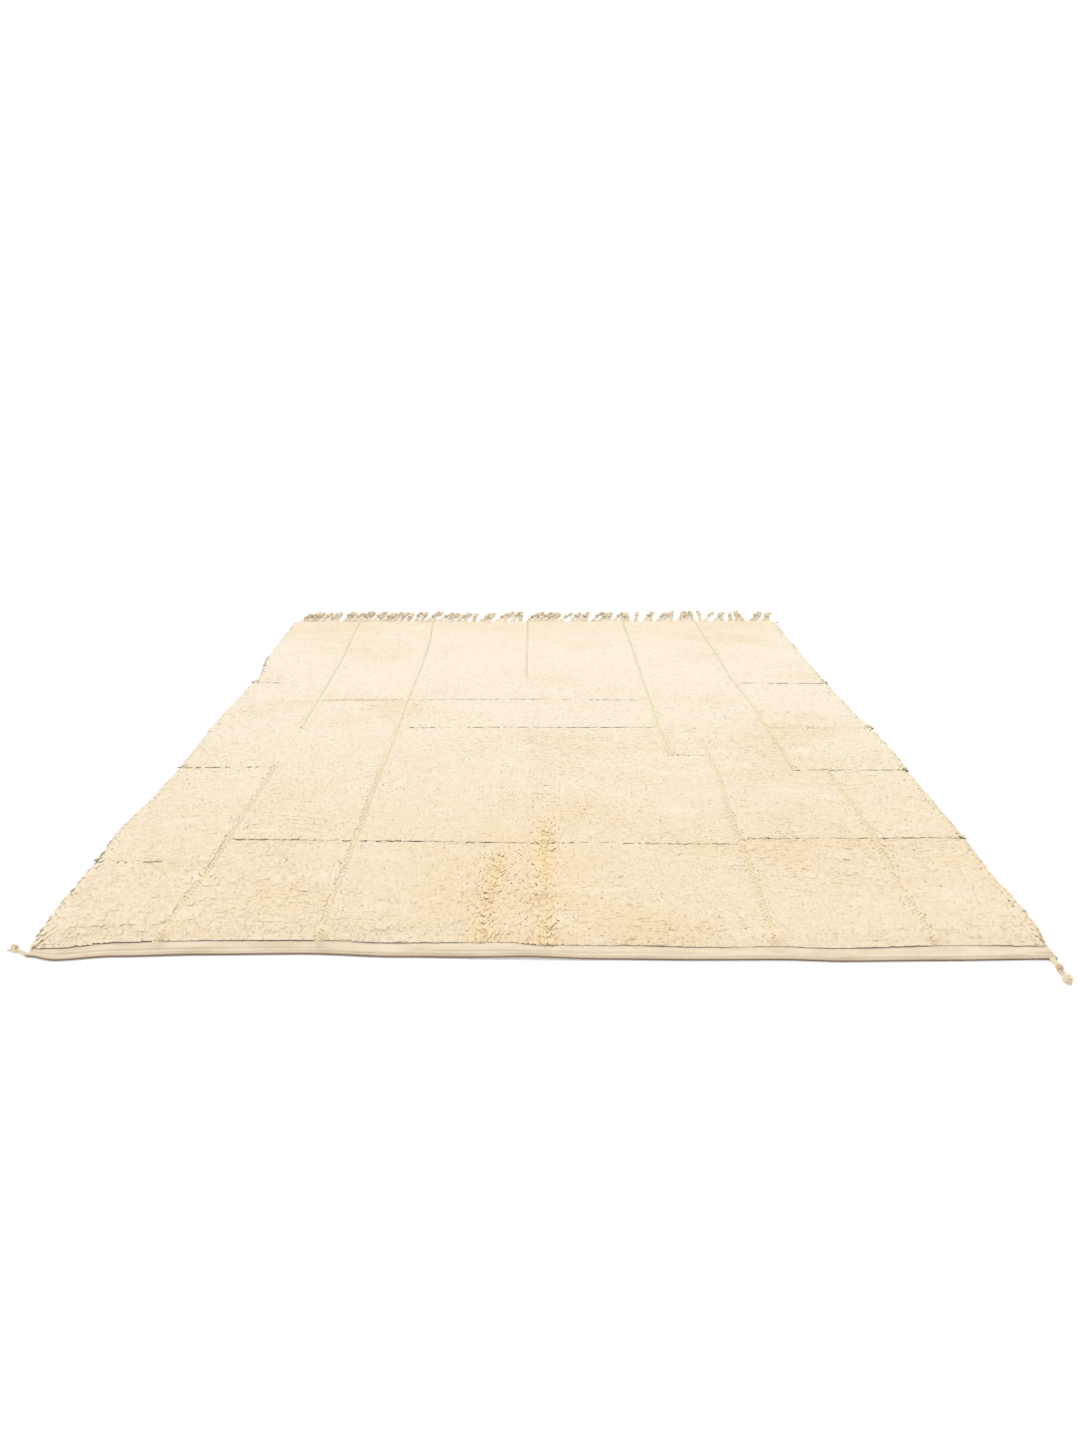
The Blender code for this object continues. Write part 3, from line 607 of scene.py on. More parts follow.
@dataclass(frozen=True)
class PileWool:
    """Undyed wool in tufts: paler far away, yellower in the creases, with painted shade at the roots, between
    the tufts and between their rows, and painted light along the lengthwise lines.
    """

    near: Colour = (0.715, 0.600, 0.430)
    middle: Colour = (0.755, 0.670, 0.535)
    far: Colour = (0.730, 0.620, 0.460)
    warm: Colour = (0.690, 0.515, 0.290)
    pale: Colour = (0.795, 0.705, 0.560)
    # root: painted shade at the tufts' roots and in the gaps between them, not a colour of the wool
    root: Colour = (0.480, 0.325, 0.145)
    creased: Colour = (0.860, 0.640, 0.310)
    # groove_light: painted light in the grooves of the lengthwise lines
    groove_light: Colour = (0.800, 0.660, 0.440)
    # row_gap_shade: painted shade in the gaps between rows of tufts
    row_gap_shade: Colour = (0.400, 0.265, 0.115)
    streak_tone_and_shade: float = 0.85
    row_gap_shade_strength: float = 0.62

    def dress(self) -> bpy.types.Material:
        """Makes the material."""
        bench = NodeBench("pile_wool_tufts")
        along = bench.node("ShaderNodeSeparateXYZ", {}, {"Vector": bench.place()}, "Y")
        patches = bench.noise((1.6, 2.6, 1.6), 3.0, 0.55)
        cloudy = bench.noise((6.0, 14.0, 6.0), 2.0)
        combed = bench.noise((34.0, 190.0, 34.0), 2.0, 0.6)
        colour = bench.mix(along.clamped(-1.3, 0.7), self.near, self.middle)
        colour = bench.mix(along.clamped(0.9, 1.6), colour, self.far)
        colour = bench.mix(patches.clamped(0.48, 0.72) * 0.45, colour, self.warm)
        colour = bench.mix(bench.mark("warmth") * 0.35, colour, self.warm)
        colour = bench.mix(cloudy.clamped(0.50, 0.80) * 0.5, colour, self.pale)
        clear = 1.0 - 0.5 * along.clamped(0.2, 1.3)
        # Fine streaks across the pile: partly the wool's own tone, partly painted shade between rows of
        # fibres; fainter far away
        colour = bench.mix(combed.clamped(0.52, 0.78) * clear * self.streak_tone_and_shade, colour, self.warm)
        # Painted shade: thin dark dashes in the gaps between rows of tufts, fainter far away
        row_gaps = bench.noise((58.0, 260.0, 58.0), 1.0, 0.5).clamped(0.59, 0.72)
        row_gaps = row_gaps * (0.45 + patches.clamped(0.40, 0.65)) * clear
        colour = bench.mix(row_gaps * self.row_gap_shade_strength, colour, self.row_gap_shade)
        tone = bench.mark("tone")
        colour = bench.mix(tone.clamped(0.4, 1.0) * 0.30, colour, self.pale)
        colour = bench.mix((1.0 - tone).clamped(0.5, 1.0) * 0.30, colour, self.warm)
        colour = bench.mix(bench.mark("crease").clamped(0.1, 1.0) * 0.60, colour, self.creased)
        # Painted light: the floor, knots and nearby tufts of the lengthwise lines turn paler by the open
        # mark, against the shade in their grooves; less so far away
        groove_light_share = 0.65 - 0.35 * along.clamped(-0.6, 0.8)
        colour = bench.mix(bench.mark("open") * groove_light_share, colour, self.groove_light)
        fibre = bench.fibre_noise((800.0, 90.0, 300.0), tone * 9.0)
        colour = bench.mix(fibre.clamped(0.50, 0.80) * 0.22, colour, self.warm)
        # Painted shade: roots and gaps between tufts darken towards the root colour, by the depth and shade
        # marks
        root_gap_shade = (1.0 - bench.mark("depth")).clamped(0.10, 0.95) * bench.mark("shade")
        colour = bench.mix(root_gap_shade, colour, self.root)
        return bench.finish(colour, fibre, (0.80, 0.15), 0.0012, 0.25, 0.15)


@dataclass(frozen=True)
class WovenWool:
    """Flat-woven undyed wool, with fine rows of weft across its warps."""

    light: Colour = (0.700, 0.590, 0.440)
    dark: Colour = (0.580, 0.470, 0.330)
    underside_shade: Colour = (0.150, 0.072, 0.022)
    weft_per_metre: float = 420.0
    underside: float = 0.0

    def dress(self, name: str) -> bpy.types.Material:
        """Makes the material; `underside` says how strongly painted shade darkens the faces that turn down.
        """
        bench = NodeBench(name)
        cloudy = bench.noise((9.0, 20.0, 9.0), 3.0)
        yarn = bench.noise((260.0, self.weft_per_metre, 260.0), 2.0)
        colour = bench.mix(cloudy.clamped(0.35, 0.75), self.light, self.dark)
        colour = bench.mix(yarn.clamped(0.45, 0.80) * 0.45, colour, self.dark)
        if self.underside > 0.0:
            # Painted shade: the faces that turn down, under the cord, darken towards a dark brown
            facing = bench.node("ShaderNodeNewGeometry", {}, {}, "Normal")
            upward = bench.node("ShaderNodeSeparateXYZ", {}, {"Vector": facing}, "Z")
            colour = bench.mix((0.60 - upward).clamped(0.0, 0.50) * self.underside, colour, self.underside_shade)
        return bench.finish(colour, yarn, (0.82, 0.12), 0.001, 0.15, 0.15)


@dataclass(frozen=True)
class PliedYarn:
    """Spun and plied wool, darker and greasier than the pile."""

    light: Colour = (0.760, 0.660, 0.500)
    dark: Colour = (0.560, 0.445, 0.290)

    def dress(self, name: str) -> bpy.types.Material:
        """Makes the material."""
        bench = NodeBench(name)
        cloudy = bench.noise((14.0, 14.0, 14.0), 2.0)
        fibre = bench.noise((700.0, 350.0, 700.0), 3.0, 0.6)
        colour = bench.mix(cloudy.clamped(0.35, 0.75), self.light, self.dark)
        colour = bench.mix(fibre.clamped(0.50, 0.85) * 0.5, colour, self.dark)
        return bench.finish(colour, fibre, (0.78, 0.15), 0.001, 0.15, 0.2)


def world(across: Array, reach: Array, height: Array) -> Array:
    """Points of the plan with their heights, as rows of x, y, z."""
    return np.stack([across, reach - CLOTH_LENGTH / 2.0, height], -1)


def add_object(name: str, data: bpy.types.ID) -> bpy.types.Object:
    """Puts a mesh, a curve, a lamp or a camera in the scene as an object at the origin."""
    made = bpy.data.objects.new(name, data)
    bpy.context.scene.collection.objects.link(made)
    return made


def close_piece(bench: BMesh, name: str) -> bpy.types.Object:
    """Turns a finished bmesh into a smooth object, its faces outwards."""
    bmesh.ops.recalc_face_normals(bench, faces=bench.faces[:])
    mesh = bpy.data.meshes.new(name)
    bench.to_mesh(mesh)
    bench.free()
    mesh.shade_smooth()
    return add_object(name, mesh)


def drop_object(piece: bpy.types.Object) -> None:
    """Removes a helper and its mesh."""
    mesh = piece.data
    bpy.data.objects.remove(piece, do_unlink=True)
    bpy.data.meshes.remove(mesh)


def set_mark(mesh: bpy.types.Mesh, name: str, kind: str, values: Array) -> None:
    """Writes a value for each point of the mesh under this name."""
    layer = mesh.attributes.new(name, kind, "POINT")
    key = "vector" if kind == "FLOAT_VECTOR" else "value"
    layer.data.foreach_set(key, np.ascontiguousarray(values).ravel())


def plan_map(mesh: bpy.types.Mesh) -> None:
    """Gives the mesh the map that looks straight down on it, for a piece made of many small forms."""
    places = np.empty(len(mesh.vertices) * 3, np.float32)
    mesh.vertices.foreach_get("co", places)
    plan = places.reshape(-1, 3)[:, :2]
    low, high = plan.min(0), plan.max(0)
    corners = np.empty(len(mesh.loops), np.int32)
    mesh.loops.foreach_get("vertex_index", corners)
    layer = mesh.uv_layers.new(name="OFBake")
    layer.uv.foreach_set("vector", ((plan - low) / (high - low))[corners].ravel())


def soften(mesh: bpy.types.Mesh, plush: float) -> None:
    """Turns the normals towards the pile's face, as fine fibre blurs its tufts, and less so in a crease."""
    count = len(mesh.vertices)
    normals = np.empty(count * 3, np.float32)
    mesh.vertex_normals.foreach_get("vector", normals)
    creased = np.empty(count, np.float32)
    mesh.attributes["crease"].data.foreach_get("value", creased)
    normals = normals.reshape(-1, 3)
    normals[:, 2] += plush * (1.0 - 0.35 * creased)
    normals /= np.linalg.norm(normals, axis=1, keepdims=True)
    mesh.normals_split_custom_set_from_vertices(normals)


@dataclass
class Setting:
    """Where each copy of a small form goes: rows of places, turns and sizes, and its form's number."""

    places: Array
    turns: Array
    sizes: Array
    forms: Array
    marks: dict[str, Array]

    def within(self, chosen: Array) -> "Setting":
        """The chosen ones."""
        marks = {name: values[chosen] for name, values in self.marks.items()}
        return Setting(self.places[chosen], self.turns[chosen], self.sizes[chosen], self.forms[chosen], marks)


@dataclass
class Scatter:
    """Sets copies of a few small forms out over many places, and makes one mesh of them."""

    forms: list[bpy.types.Object]

    def tree(self) -> bpy.types.NodeTree:
        """The nodes that put each form on the points that ask for it."""
        tree = bpy.data.node_groups.new("set_out", "GeometryNodeTree")
        for way in ("INPUT", "OUTPUT"):
            tree.interface.new_socket("Geometry", in_out=way, socket_type="NodeSocketGeometry")
        nodes, links = tree.nodes, tree.links
        points = nodes.new("NodeGroupInput").outputs[0]
        read = {}
        for name, kind in (("turn", "FLOAT_VECTOR"), ("size", "FLOAT_VECTOR"), ("form", "INT")):
            node = nodes.new("GeometryNodeInputNamedAttribute")
            node.data_type = kind
            node.inputs["Name"].default_value = name
            read[name] = node.outputs["Attribute"]
        turned = nodes.new("FunctionNodeEulerToRotation")
        links.new(read["turn"], turned.inputs[0])
        joined = nodes.new("GeometryNodeJoinGeometry")
        for number, form in enumerate(self.forms):
            source = nodes.new("GeometryNodeObjectInfo")
            source.inputs["Object"].default_value = form
            chosen = nodes.new("FunctionNodeCompare")
            chosen.data_type, chosen.operation = "INT", "EQUAL"
            whole = [socket for socket in chosen.inputs if socket.type == "INT"]
            links.new(read["form"], whole[0])
            whole[1].default_value = number
            copies = nodes.new("GeometryNodeInstanceOnPoints")
            links.new(points, copies.inputs["Points"])
            links.new(chosen.outputs["Result"], copies.inputs["Selection"])
            links.new(source.outputs["Geometry"], copies.inputs["Instance"])
            links.new(turned.outputs[0], copies.inputs["Rotation"])
            links.new(read["size"], copies.inputs["Scale"])
            links.new(copies.outputs["Instances"], joined.inputs[0])
        real = nodes.new("GeometryNodeRealizeInstances")
        links.new(joined.outputs[0], real.inputs[0])
        links.new(real.outputs[0], nodes.new("NodeGroupOutput").inputs[0])
        return tree

    def build(self, name: str, setting: Setting) -> bpy.types.Object:
        """Makes one piece of all the copies.

        Args:
            name: the piece's name.
            setting: where the copies go.

        Returns:
            The piece, as one mesh.
        """
        mesh = bpy.data.meshes.new(name + "_points")
        mesh.vertices.add(len(setting.places))
        mesh.vertices.foreach_set("co", setting.places.ravel())
        set_mark(mesh, "turn", "FLOAT_VECTOR", setting.turns)
        set_mark(mesh, "size", "FLOAT_VECTOR", setting.sizes)
        set_mark(mesh, "form", "INT", setting.forms)
        for mark, values in setting.marks.items():
            set_mark(mesh, mark, "FLOAT", values)
        holder = add_object(name + "_points", mesh)
        tree = self.tree()
        holder.modifiers.new("set_out", "NODES").node_group = tree
        settled = holder.evaluated_get(bpy.context.evaluated_depsgraph_get())
        made = bpy.data.meshes.new_from_object(settled)
        made.name = name
        for helper in ("turn", "size", "form"):
            if helper in made.attributes:
                made.attributes.remove(made.attributes[helper])
        drop_object(holder)
        bpy.data.node_groups.remove(tree)
        return add_object(name, made)


@dataclass
class PileBed:
    """The flat ground cloth, and on it the dense lower part of the pile that the tufts' tops stand out of."""

    plan: PilePlan
    under: float = 0.0030
    least: float = 0.0068
    spacing: float = 0.019
    insets: tuple[float, ...] = (0.0, 0.003, 0.008, 0.016)
    rim_under: float = 0.0022
    crease_under: float = 0.0004
    deepest: float = 0.0150
    cloth: float = 0.0060
    body_base: float = 0.0062
    cloth_step: int = 6
    near_rim_slope: tuple[float, float] = (0.010, 0.036)
    knotted_width: tuple[float, float] = (0.008, 0.018)
    bared_width: tuple[float, float] = (0.007, 0.015)
    tone: float = 0.45

    def stops(
        self,
        lines: dict[str, SunkLine],
        offsets: tuple[float, ...],
        axis: int,
        at: Array,
        ends: tuple[Array, Array],
    ) -> Array:
        """Where the grid has to follow the rug at one cut through it.

        Args:
            lines: the sunk lines that cross the cut.
            offsets: how far from the middle of such a line its grid lines are.
            axis: which coordinate `at` is, ACROSS or REACH.
            at: where the cut is.
            ends: the places of the rug's two edges there.

        Returns:
            The places of the edges with their insets, and between them those of the lines.
        """
        low, high = (float(edge[0]) for edge in ends)
        places = [low + inset for inset in self.insets]
        places += [float(eased(line.path, axis, at)[0]) + away for line in lines.values() for away in offsets]
        places += [high - inset for inset in reversed(self.insets)]
        return np.array(places)

    def filled(self, stops: Array) -> Array:
        """The places of all grid lines: the stops, and others in between at about the spacing."""
        found = [stops[0]]
        for before, after in zip(stops, stops[1:]):
            steps = max(1, round(float(after - before) / self.spacing))
            found += [before + (after - before) * step / steps for step in range(1, steps + 1)]
        return np.array(found)

    def build(self) -> tuple[bpy.types.Object, bpy.types.Object]:
        """Makes the ground cloth and the lower pile."""
        plan = self.plan
        knotted = (-plan.knotted_lip, -plan.knotted_floor, plan.knotted_floor, plan.knotted_lip)
        wall = plan.parted_near + plan.parted_wall
        parted = (-plan.parted_shoulder, -wall, -plan.parted_near, 0.0, plan.parted_far)
        half = np.array([CLOTH_LENGTH / 2.0])
        middle = np.array([0.0])
        across_stops = self.stops(LENGTHWISE, knotted, REACH, half, plan.long_edges(half))
        reach_stops = self.stops(CROSSWISE, parted, ACROSS, middle, plan.rims(middle))
        columns, rows = self.filled(across_stops), self.filled(reach_stops)
        across = np.empty((len(rows), len(columns)))
        reach = np.empty_like(across)
        for row, at in enumerate(rows):
            here = np.full(1, at)
            stops = self.stops(LENGTHWISE, knotted, REACH, here, plan.long_edges(here))
            across[row] = np.interp(columns, across_stops, stops)
        for column in range(len(columns)):
            here = across[len(rows) // 2, column : column + 1]
            stops = self.stops(CROSSWISE, parted, ACROSS, here, plan.rims(here))
            reach[:, column] = np.interp(rows, reach_stops, stops)
        at_rim = 1.0 - ramp(*self.near_rim_slope, reach - plan.near_rim(across))
        under = self.under + self.rim_under * at_rim + self.crease_under * plan.crease(across, reach)[0]
        height = np.maximum(plan.height(across, reach) - under, self.floor_of(across, reach))
        return self.cloth_under(across, reach), self.slab("pile_body", across, reach, height, self.body_base)

    def cloth_under(self, across: Array, reach: Array) -> bpy.types.Object:
        """Makes the flat ground cloth, which ends under the rim of the pile that stands on these places."""
        kept = [np.unique(np.append(np.arange(0, size, self.cloth_step), size - 1)) for size in across.shape]
        coarse = np.ix_(*kept)
        across, reach = across[coarse], reach[coarse]
        left, right = self.plan.long_edges(reach)
        across = np.clip(across, left + self.plan.overhang, right - self.plan.overhang)
        reach = np.clip(reach, eased(HEADING_END, ACROSS, across) + GAP, eased(FAR_EDGE, ACROSS, across))
        return self.slab("pile_ground", across, reach, np.full_like(across, self.cloth), 0.0)

    def floor_of(self, across: Array, reach: Array) -> Array:
        """The least height of the slab: the lengthwise lines' floor, lower elsewhere and towards the rim."""
        inward = self.plan.inward(across, reach)
        knotted = self.plan.beside_knots(across, reach, *self.knotted_width)
        inside = self.deepest + (self.plan.knot_floor(reach) - self.deepest) * knotted
        return self.least + (inside - self.least) * ramp(0.0, self.plan.rim_depth, inward)

    def slab(self, name: str, across: Array, reach: Array, height: Array, base: float) -> bpy.types.Object:
        """Closes a top of these heights into a slab with a flat underside.

        Args:
            name: the piece's name.
            across: the top's places across the rug, in rows.
            reach: its places along the rug.
            height: its heights.
            base: the height of the underside.

        Returns:
            The slab, with the marks that the pile's wool needs.
        """
        rows, columns = across.shape
        bench = bmesh.new()
        names = ("depth", "tone", "shade", "crease", "open", "warmth")
        marks = {mark: bench.verts.layers.float.new(mark) for mark in names}
        fibre = bench.verts.layers.float_vector.new("fibre")
        bmesh.ops.create_grid(bench, x_segments=columns - 1, y_segments=rows - 1, size=1.0)
        places = world(across, reach, height).reshape(-1, 3)
        bare = self.plan.beside_knots(across, reach, *self.bared_width).ravel()
        creased = self.plan.crease(across, reach)[0].ravel()
        warmth = self.plan.warmth(across, reach).ravel()
        for vert, place, open_here, crease_here, warm_here in zip(bench.verts, places, bare, creased, warmth):
            vert.co = place
            vert[fibre] = place
            # Painted shade on the lower pile: stronger in the creases, weaker on the lengthwise lines' floors
            vert[marks["depth"]] = 0.60 - 0.25 * crease_here + 0.25 * open_here
            vert[marks["tone"]] = self.tone
            vert[marks["shade"]] = 0.50 + 0.20 * crease_here
            vert[marks["crease"]] = crease_here
            vert[marks["open"]] = open_here
            vert[marks["warmth"]] = warm_here
        border = [edge for edge in bench.edges if edge.is_boundary]
        made = bmesh.ops.extrude_edge_only(bench, edges=border)["geom"]
        for vert in (item for item in made if isinstance(item, bmesh.types.BMVert)):
            vert.co.z = base
        bmesh.ops.holes_fill(bench, edges=[edge for edge in bench.edges if edge.is_boundary], sides=0)
        return close_piece(bench, name)


@dataclass(frozen=True)
class TuftShape:
    """A tuft's size, and how its end is cut: into how many points, and how deep between them."""

    length: float
    width: float
    back: float
    points: int
    notch: float
    ragged: float
    root_depth: float = 0.0062

    def build(self, name: str, end_drop: float, chance: random.Random) -> bpy.types.Object:
        """Makes a tuft with its root down in the bed and its points towards -Y.

        Args:
            name: the form's name.
            end_drop: how far the points are below the tuft's back.
            chance: what varies the outline.

        Returns:
            The tuft, with the marks that its wool needs.
        """
        bench = bmesh.new()
        depth = bench.verts.layers.float.new("depth")
        fibre = bench.verts.layers.float_vector.new("fibre")
        corners = 2 * self.points + 1
        bmesh.ops.create_cone(bench, cap_ends=True, segments=corners, radius1=1.0, radius2=0.0, depth=2.0)
        bmesh.ops.remove_doubles(bench, verts=bench.verts[:], dist=0.001)
        root = max(bench.verts, key=lambda vert: vert.co.z)
        face = next(face for face in bench.faces if root not in face.verts)
        root.co = Vector((0.0, 0.0, -self.root_depth))
        # The depth mark sets painted shade: full at the root
        root[depth] = 0.0
        sway = chance.uniform(-0.10, 0.10) * self.length
        roll = chance.uniform(-0.0007, 0.0007)
        outline = [(-0.90, self.back, 0.0), (0.90, self.back, 0.0)]
        for stop in range(2 * self.points - 1):
            side = 1.0 - (stop + 1) / self.points
            cut = (stop % 2) * self.notch + chance.uniform(0.0, self.ragged)
            outline.append((1.25 * side + chance.uniform(-0.08, 0.08), 1.0 - cut, 1.0 - 0.4 * (stop % 2)))
        for vert, (side, along, end) in zip([loop.vert for loop in face.loops], outline):
            across = side * self.width / 2.0 + sway * along
            vert.co = Vector((across, -along * self.length, roll * side - end_drop * along))
            # Painted shade: a little at the back corners and notches, none on the points
            vert[depth] = 0.80 + 0.20 * end
        for vert in bench.verts:
            vert[fibre] = vert.co
        bmesh.ops.triangulate(bench, faces=bench.faces[:], ngon_method="EAR_CLIP")
        return close_piece(bench, name)


@dataclass
class Tufts:
    """The cut pile: rows of tufts that lie towards the heading, parted in the creases."""

    plan: PilePlan
    pitch_across: float = 0.0110
    pitch_reach: float = 0.0116
    length: float = 0.026
    end_drop: float = 0.0016
    plush: float = 3.5
    plush_rim: float = 0.8
    feathered: float = 0.42
    rim_start: float = 0.035
    lean_over: float = 0.0140
    bridge: float = 0.030
    keep_out: float = 0.0092
    over_heading: float = 0.005
    least_share: float = 0.30
    least_open: float = 0.08
    outward: float = 0.9
    outward_within: float = 0.035
    knot_side: tuple[float, float] = (0.010, 0.018)
    near_rim_slope: float = 0.030
    ruffle: float = 0.0016
    ruffle_pitch: float = 0.035
    streak: float = 0.0002
    lift_spread: float = 0.0001
    tone_spread: float = 0.12
    rim_rows: tuple[tuple[float, float], ...] = ((0.0165, 0.006), (0.0105, 0.003))
    far_rows: tuple[tuple[float, float], ...] = ((0.0175, 0.006), (0.0115, 0.004))
    rim_pitch: float = 0.0095
    far_pitch: float = 0.0098
    rim_jitter: float = 0.003
    shapes: tuple[TuftShape, ...] = (
        TuftShape(0.026, 0.0185, 0.34, 2, 0.05, 0.07),
        TuftShape(0.026, 0.0180, 0.34, 3, 0.06, 0.08),
        TuftShape(0.026, 0.0175, 0.36, 2, 0.08, 0.09),
        TuftShape(0.026, 0.0190, 0.34, 3, 0.07, 0.07),
    )
    feathers: tuple[TuftShape, ...] = (
        TuftShape(0.029, 0.0088, 0.22, 2, 0.08, 0.12, 0.0020),
        TuftShape(0.026, 0.0096, 0.20, 2, 0.10, 0.10, 0.0020),
        TuftShape(0.030, 0.0080, 0.25, 2, 0.08, 0.16, 0.0020),
    )
    jitter: float = 0.19
    seed: int = 11

    def grid(self) -> tuple[Array, Array]:
        """Where the knots of the pile are, in rows, closer in the creases."""
        chance = np.random.default_rng(self.seed)
        reaches = np.arange(0.045, CLOTH_LENGTH + 0.01, self.pitch_reach)
        sides = np.arange(-HALF_WIDTH - 0.02, HALF_WIDTH + 0.04, self.pitch_across)
        across, reach = np.meshgrid(sides, reaches)
        across = across + (np.arange(len(reaches)) % 2)[:, None] * self.pitch_across / 2.0
        across = across + chance.uniform(-1, 1, across.shape) * self.jitter * self.pitch_across
        reach = reach + chance.uniform(-1, 1, across.shape) * self.jitter * self.pitch_reach
        across, reach = across.ravel(), reach.ravel()
        creased = self.plan.crease(across, reach)[0] > self.feathered
        found = [(across, reach)]
        for _ in range(2):
            shift = chance.uniform(-0.5, 0.5, (2, int(creased.sum())))
            moved = across[creased] + shift[0] * self.pitch_across
            found.append((moved, reach[creased] + shift[1] * self.pitch_reach))
        across, reach = (np.concatenate(values) for values in zip(*found))
        inside = self.plan.inward(across, reach) > 0.003
        return across[inside], reach[inside]

    def stretch(self, across: Array, reach: Array) -> tuple[Array, Array, Array]:
        """Which knots bear a tuft, how long it is as a share, and which tufts bridge a crosswise line."""
        bears = np.ones(len(across), bool)
        bridges = np.zeros(len(across), bool)
        inside = reach - self.plan.near_rim(across)
        share = np.clip((inside + self.over_heading) / self.length, self.least_share, 1.0)
        for kind, away, there in self.plan.sunk_lines(across, reach):
            if kind is SunkKind.KNOTTED:
                bears &= np.abs(away) > self.keep_out * there
            else:
                beyond = (away > 0.0) & (there > self.least_open)
                short = np.clip((away + self.lean_over) / self.length, self.least_share, 1.0)
                share = np.where(beyond, np.minimum(share, short), share)
                bridges |= beyond & (away < self.bridge)
        return bears, share, bridges

    def lean(self, across: Array, reach: Array, chance: np.random.Generator) -> Array:
        """The way that each tuft lies, turned from -Y, in radians."""
        creased, side = self.plan.crease(across, reach)
        drift = 0.16 * grain(across, reach, 4.0, 4.0, 3.5) + 0.08 * grain(across, reach, 22.0, 30.0, 5.5)
        loose = chance.normal(0.0, 0.05, len(across)) * (1.0 + 3.0 * creased)
        parting = -1.0 * side * creased
        _, _, left, right = self.plan.sides(across, reach)
        to_right = self.outward * (1.0 - ramp(0.0, self.outward_within, right))
        to_left = self.outward * (1.0 - ramp(0.0, self.outward_within, left))
        return drift + loose + parting + (to_right - to_left)

    def setting(self) -> Setting:
        """Works out the place, turn and size of every tuft."""
        chance = np.random.default_rng(self.seed + 1)
        across, reach = self.grid()
        bears, share, bridges = self.stretch(across, reach)
        across, reach, share, bridges = across[bears], reach[bears], share[bears], bridges[bears]
        count = len(across)
        creased, side = self.plan.crease(across, reach)
        feather = creased > self.feathered
        beside = self.plan.beside_knots(across, reach, *self.knot_side)
        turn = self.lean(across, reach, chance)
        rough = 1.0 - 0.75 * ramp(0.9, 2.4, reach) + 1.0 * creased
        streak = grain(across, reach, 30.0, 84.0, 8.5)
        patch = 0.5 + 0.9 * grain(across, reach, 2.6, 4.5, 12.5)
        ruffled = np.clip(streak - 0.12, 0.0, 1.0) * np.clip(patch, 0.15, 1.3)
        lift = self.ruffle * ruffled + self.streak * streak + chance.normal(0.0, self.lift_spread, count)
        lift = lift * rough * (1.0 - beside)
        at_rim = 1.0 - ramp(0.0, self.near_rim_slope, reach - self.plan.near_rim(across))
        uneven = (0.12 - 0.07 * at_rim) * chance.uniform(-1, 1, count)
        length = self.length * share * (1.0 + uneven + 0.15 * creased)
        tip_across = across + np.sin(turn) * length
        tip_reach = reach - np.cos(turn) * length
        height = self.plan.height(across, reach)
        fall = self.plan.height(tip_across, tip_reach) - height
        pitch = np.clip(np.arctan2(fall, length), -0.85, 0.12) * (~bridges | (at_rim > 0.0))
        pitch = pitch + self.ruffle_pitch * ruffled * rough * (1.0 - beside)
        pitch = pitch + chance.normal(0.02, 0.05, count) * feather
        step = 0.004
        slope = (self.plan.height(across + step, reach) - self.plan.height(across - step, reach)) / step / 2.0
        roll = chance.normal(0.0, 0.02, count) * rough
        roll = roll + (0.35 * side + chance.normal(0.0, 0.12, count)) * creased
        roll = roll - np.clip(np.arctan(slope), -0.4, 0.4)
        wide = (1.0 + 0.10 * chance.uniform(-1, 1, count)) * (1.0 - 0.42 * beside)
        wide = wide * (1.0 - 0.4 * creased * ~feather)
        turns = np.stack([-pitch, roll, turn], -1)
        sizes = np.stack([wide, length / self.length, 1.0 - 0.5 * at_rim], -1)
        tone = np.clip(0.5 + 0.3 * streak + chance.normal(0.0, self.tone_spread, count), 0.0, 1.0)
        body = chance.integers(0, len(self.shapes), count)
        forms = np.where(feather, len(self.shapes) + chance.integers(0, len(self.feathers), count), body)
        marks = {
            "tone": tone,
            "crease": np.clip(creased, 0.0, 1.0),
            # Painted shade at the roots: stronger in the creases, weaker beside the lengthwise lines
            "shade": np.clip(0.14 + 0.50 * creased, 0.0, 1.0) * (1.0 - 0.9 * beside),
            "open": 0.6 * beside,
            "warmth": self.plan.warmth(across, reach),
        }
        return Setting(world(across, reach, height + lift), turns, sizes, forms.astype(np.int32), marks)

    def rim_setting(self) -> Setting:
        """Works out the tufts that hang down over the rim, in two rows round it."""
        chance = np.random.default_rng(self.seed + 2)
        rows = []
        along = np.arange(0.06, CLOTH_LENGTH, self.rim_pitch)
        for side, edge in ((-1.0, LEFT_EDGE), (1.0, RIGHT_EDGE)):
            for height, inset in self.rim_rows:
                reach = along + chance.uniform(-self.rim_jitter, self.rim_jitter, len(along))
                across = eased(edge, REACH, reach) - side * inset
                turned = np.full(len(along), self.outward * side)
                rows.append((across, reach, np.full(len(along), height), turned))
        wide = np.arange(-HALF_WIDTH + 0.01, HALF_WIDTH, self.far_pitch)
        for height, inset in self.far_rows:
            across = wide + chance.uniform(-self.rim_jitter, self.rim_jitter, len(wide))
            reach = self.plan.far_rim(across) - inset
            rows.append((across, reach, np.full(len(wide), height), np.full(len(wide), math.pi)))
        across, reach, height, turn = (np.concatenate(values) for values in zip(*rows))
        count = len(across)
        kept = self.plan.beside_knots(across, reach, 0.0120, 0.0121) < 0.5
        kept &= reach - self.plan.near_rim(across) > self.rim_start
        turn = turn + chance.normal(0.0, 0.20, count)
        droop = np.where(height > 0.014, chance.uniform(0.45, 0.75, count), chance.uniform(0.25, 0.45, count))
        turns = np.stack([droop, np.zeros(count), turn], -1)
        sizes = np.stack([np.ones(count), chance.uniform(0.42, 0.56, count), np.full(count, 0.7)], -1)
        tone = np.clip(chance.normal(0.5, self.tone_spread, count), 0.0, 1.0)
        forms = chance.integers(0, len(self.shapes), count).astype(np.int32)
        none = np.zeros(count)
